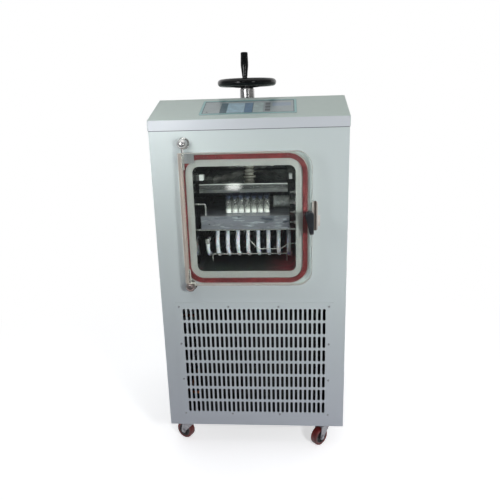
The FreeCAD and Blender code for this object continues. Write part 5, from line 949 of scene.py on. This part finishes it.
for x, z in places:
    spin = screw_rng.uniform(0, TAU)
    rings = []
    for radius, height in SCREW_PROFILE:
        ring = []
        for step in range(SCREW_STEPS):
            angle = TAU * step / SCREW_STEPS
            x_out, z_out = radius * math.cos(angle), radius * math.sin(angle)
            in_cross = height < DOME_START and radius < CROSS_REACH
            in_cross = in_cross and min(abs(x_out), abs(z_out)) < CROSS_HALF_WIDTH
            sink = CROSS_DEPTH if in_cross else 0.0
            ring.append((x_out * MM, (height + sink) * MM, z_out * MM))
        rings.append(ring[::-1])
    screws.tube_of_rings(rings, Matrix.Translation((x, head_y, z)) @ Matrix.Rotation(spin, 4, "Y"))
screws.make("pan_head_screws", screw_zinc, "cabinet", "screw_steel", ["grille_screws"])

# ---- cover seam shadow: a dark strip painted where the lip's shadow falls -----------------------
SEAM_HEIGHT = 1.6 * MM
SEAM_DEPTH = 1.6 * MM
SEAM_CORNER = 0.4 * MM
SEAM_INSET = 2 * MM
SEAM_PROUD = 1 * MM
seam = Piece()
seam_outline = rounded_outline(cover_low.x + SEAM_INSET, cover_high.x - SEAM_INSET, 0, SEAM_DEPTH,
                               SEAM_CORNER, 2)
slab(seam, seam_outline, cover_low.z - SEAM_HEIGHT, cover_low.z,
     Matrix.Translation((0, front_sheet - SEAM_PROUD, 0)))
seam.make("cover_seam_shadow", seam_shadow_black, "cabinet", "black_plastic")

# ---- console ------------------------------------------------------------------------------------
SLOPE_RISE = 59
SLOPE_RUN = 183
SLOPE = math.atan2(SLOPE_RISE, SLOPE_RUN)
OVERLAY_START = 34 * MM         # up the slope from the cover's front edge
FILM = 1.5
SCREEN = 1.2
PRINT_THICK = 0.3
PRINT_EASE = 0.05
BORDER = (-149, 146, 35, 164)
LINE = (-142, 139, 42, 157)
BORDER_WIDTH = 6.5
LINE_WIDTH = 2.4
WIDE_LINE = (-139.6, 136.6, 151, 154.6)
FIELD = (47, 137)
KEYS = ((112, 134), (84, 104), (56, 76))
overlay_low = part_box("console_overlay")[0]
console_origin = (0, cover_low.y, overlay_low.z - OVERLAY_START * math.sin(SLOPE))
console_place = Matrix.Translation(console_origin) @ Matrix.Rotation(SLOPE, 4, "X")


def printed(name, finish, boxes, top, slot, radius=1.0):
    """Thin printed or pressed fields, each (x0, x1, s0, s1) in millimetres, with s up the slope."""
    piece = Piece()
    for x0, x1, s0, s1 in boxes:
        corner = min(radius, (x1 - x0) / 2.1, (s1 - s0) / 2.1)
        outline = rounded_outline(x0 * MM, x1 * MM, s0 * MM, s1 * MM, corner * MM)
        slab(piece, outline, (top - PRINT_THICK) * MM, top * MM, console_place, PRINT_EASE * MM)
    piece.make(name, finish, "cabinet", slot)


def frame_bars(x0, x1, s0, s1, width):
    """The four bars of a frame, the upright ones between the others."""
    return [(x0, x1, s0, s0 + width), (x0, x1, s1 - width, s1),
            (x0, x0 + width, s0 + width, s1 - width), (x1 - width, x1, s0 + width, s1 - width)]


printed("console_border", film_border, frame_bars(*BORDER, BORDER_WIDTH), FILM + 0.12, "console_film", 0.2)
printed("console_line", film_line, frame_bars(*LINE, LINE_WIDTH) + [WIDE_LINE], FILM + 0.14,
        "console_film", 0.2)
printed("screen_bar", bezel, [(-87, -68, *FIELD)], SCREEN + 0.08, "display")
printed("screen_main", screen_light, [(-67, -14, *FIELD)], SCREEN + 0.1, "display")
printed("screen_block", screen_mid, [(-13, 10.5, *FIELD)], SCREEN + 0.1, "display")
printed("console_field", screen_grey, [(14, 44, *FIELD)], FILM + 0.1, "console_film")
printed("console_keys", dark_key, [(50, 66, *key) for key in KEYS], FILM + 0.3, "console_film", 2.5)
printed("console_band", film_band, [(72, 130, 100, 132)], FILM + 0.1, "console_film", 2.0)
printed("console_dot", dark_key, [(-131, -124, 53, 60)], FILM + 0.25, "console_film", 3.4)

# ---- studio -------------------------------------------------------------------------------------
WHITE = (1, 1, 1, 1)
FLOOR_SIZE = 60
FLOOR_DROP = 0.2 * MM
FLOOR_FADE = (0.55, 1.7)
FLOOR_LIFT = 0.55
GLOW_FADE = (0.5, 0.12)


def looked_through(tree):
    """1 for a look that has met nothing but clear material on its way, 0 for any other ray."""
    path = tree.add("ShaderNodeLightPath").outputs
    share = path["Is Transmission Ray"]
    for depth in ("Diffuse Depth", "Glossy Depth"):
        share = tree.maths("MULTIPLY", share, tree.maths("LESS_THAN", path[depth], 0.5))
    return share


def floor_shader(tree):
    """Pale floor: the camera sees it fade to plain white away from the machine, light sees it darker."""
    near = tree.add("ShaderNodeAddShader")
    tree.link(tree.simple("ShaderNodeBsdfDiffuse", Color=(0.86, 0.86, 0.87, 1)), near.inputs[0])
    tree.link(tree.simple("ShaderNodeEmission", Strength=FLOOR_LIFT), near.inputs[1])
    far = tree.simple("ShaderNodeEmission", Strength=1.0)
    seen = tree.mixed(tree.from_middle(*FLOOR_FADE), near.outputs[0], far)
    bounce = tree.simple("ShaderNodeBsdfDiffuse", Color=(0.36, 0.33, 0.4, 1))
    path = tree.add("ShaderNodeLightPath").outputs
    seen_share = tree.maths("MAXIMUM", path["Is Camera Ray"], path["Is Glossy Ray"])
    seen_share = tree.maths("MAXIMUM", seen_share, looked_through(tree))
    return tree.mixed(seen_share, bounce, seen)


def glow_shader(colour, strength, soft):
    """Plain glow, or a soft one that is strongest in the middle of a sheet one unit wide."""
    def build(tree):
        glow = tree.simple("ShaderNodeEmission", Color=colour, Strength=strength)
        past = tree.mixed(looked_through(tree), glow, tree.simple("ShaderNodeEmission"))
        if not soft:
            return past
        return tree.mixed(tree.from_middle(*GLOW_FADE), tree.simple("ShaderNodeBsdfTransparent"), past)
    return build


def sheet_object(name, size, place, build):
    """A flat stage sheet, size across, facing the place's own +Z, with the material that build makes."""
    material = bpy.data.materials.new(name)
    tree = Nodes(material)
    tree.link(build(tree), tree.add("ShaderNodeOutputMaterial").inputs["Surface"])
    half = size / 2
    mesh = bpy.data.meshes.new(name)
    mesh.from_pydata([(-half, -half, 0), (half, -half, 0), (half, half, 0), (-half, half, 0)],
                     [], [(0, 1, 2, 3)])
    mesh.materials.append(material)
    thing = bpy.data.objects.new(name, mesh)
    thing.matrix_world = place
    scene.collection.objects.link(thing)
    return thing


def reflector(name, position, target, size, colour, strength, soft=False):
    """A card that only shows in gloss, as the room behind the camera does."""
    aim = (Vector(target) - Vector(position)).to_track_quat("Z", "Y").to_matrix().to_4x4()
    place = Matrix.Translation(position) @ aim @ Matrix.Diagonal((*size, 1, 1))
    card = sheet_object(name, 1, place, glow_shader(colour, strength, soft))
    card.visible_camera = False
    card.visible_diffuse = False
    card.visible_shadow = False
    card.visible_volume_scatter = False


def lamp(name, position, target, size, power, colour):
    light = bpy.data.lights.new(name, "AREA")
    light.shape = "DISK"
    light.size = size
    light.energy = power
    light.color = colour
    thing = bpy.data.objects.new(name, light)
    thing.location = position
    thing.rotation_euler = (Vector(target) - Vector(position)).to_track_quat("-Z", "Y").to_euler()
    scene.collection.objects.link(thing)
    return thing


sheet_object("floor", FLOOR_SIZE, Matrix.Translation((0, 0, -FLOOR_DROP)), floor_shader)
reflector("dark_room", (0, -4.2, 1.6), (0, 0, 1.2), (9, 5.2), (0.9, 0.95, 1.0, 1), 0.12)
reflector("dark_floor", (0, -2.55, 0.004), (0, -2.55, 1), (6, 3.5), (0.9, 0.95, 1.0, 1), 0.1)
reflector("left_wall", (-3.4, -0.9, 1.5), (0, -0.3, 1.1), (5.2, 3.2), (0.95, 0.97, 1.0, 1), 0.3)
reflector("right_wall", (3.4, -0.9, 1.5), (0, -0.3, 1.1), (5.2, 3.2), (1.0, 0.97, 0.95, 1), 0.24)
reflector("window_left", (-0.37, -2.1, 1.27), (0, 0, 1.0), (0.22, 0.22), WHITE, 6.0, True)
reflector("flash_low", (-0.281, -2.6, 0.580), (0, 0, 0.9), (0.16, 0.075), (1, 1, 0.98, 1), 9.0, True)

# The key lamp stays out of gloss, where a soft card of its own stands in for it.
KEY_PLACE = (0.84, -1.72, 1.03)
KEY_TARGET = (0.05, -0.3, 0.75)
key = lamp("key", KEY_PLACE, KEY_TARGET, 0.35, 15.0, (0.99, 1.0, 1.0))
key.visible_glossy = False
reflector("key_glow", KEY_PLACE, KEY_TARGET, (0.42, 0.42), WHITE, 14.0, True)
lamp("fill", (-0.36, -0.72, 1.16), (-0.3, -0.31, 1.1), 0.2, 1.15, (0.98, 0.99, 1.0))
lamp("top", (0.1, -0.7, 2.4), (0, -0.2, 1.15), 1.2, 1.0, (0.97, 1.0, 0.98))

# Light from all round is weak at the front and stronger behind, so that the back can be seen.
scene.world = bpy.data.worlds.new("studio")
sky = Nodes(scene.world)
front_light = sky.simple("ShaderNodeBackground", Color=(0.94, 0.91, 1.0, 1), Strength=0.25)
rear_light = sky.simple("ShaderNodeBackground", Color=(0.97, 1.0, 0.98, 1), Strength=1.05)
around = sky.mixed(sky.ranged(sky.axis("Y", "Generated"), 0.0, 0.6), front_light, rear_light)
backdrop = sky.simple("ShaderNodeBackground", Color=WHITE, Strength=1.0)
sky_path = sky.add("ShaderNodeLightPath").outputs
backdrop_share = sky.maths("MAXIMUM", sky_path["Is Camera Ray"], sky_path["Is Glossy Ray"])
backdrop_share = sky.maths("MAXIMUM", backdrop_share, sky_path["Is Transmission Ray"])
sky.link(sky.mixed(backdrop_share, around, backdrop), sky.add("ShaderNodeOutputWorld").inputs["Surface"])

SENSOR_WIDTH = 36
LENS = 37.118
CAMERA_PLACE = (0.11567, -1.8737, 1.16513)
CAMERA_TURN = (74.237, 1.599, 3.903)
camera = bpy.data.objects.new("camera", bpy.data.cameras.new("camera"))
camera.data.sensor_width = SENSOR_WIDTH
camera.data.lens = LENS
camera.location = CAMERA_PLACE
camera.rotation_euler = [math.radians(angle) for angle in CAMERA_TURN]
scene.collection.objects.link(camera)
scene.camera = camera

scene.view_settings.view_transform = "Standard"
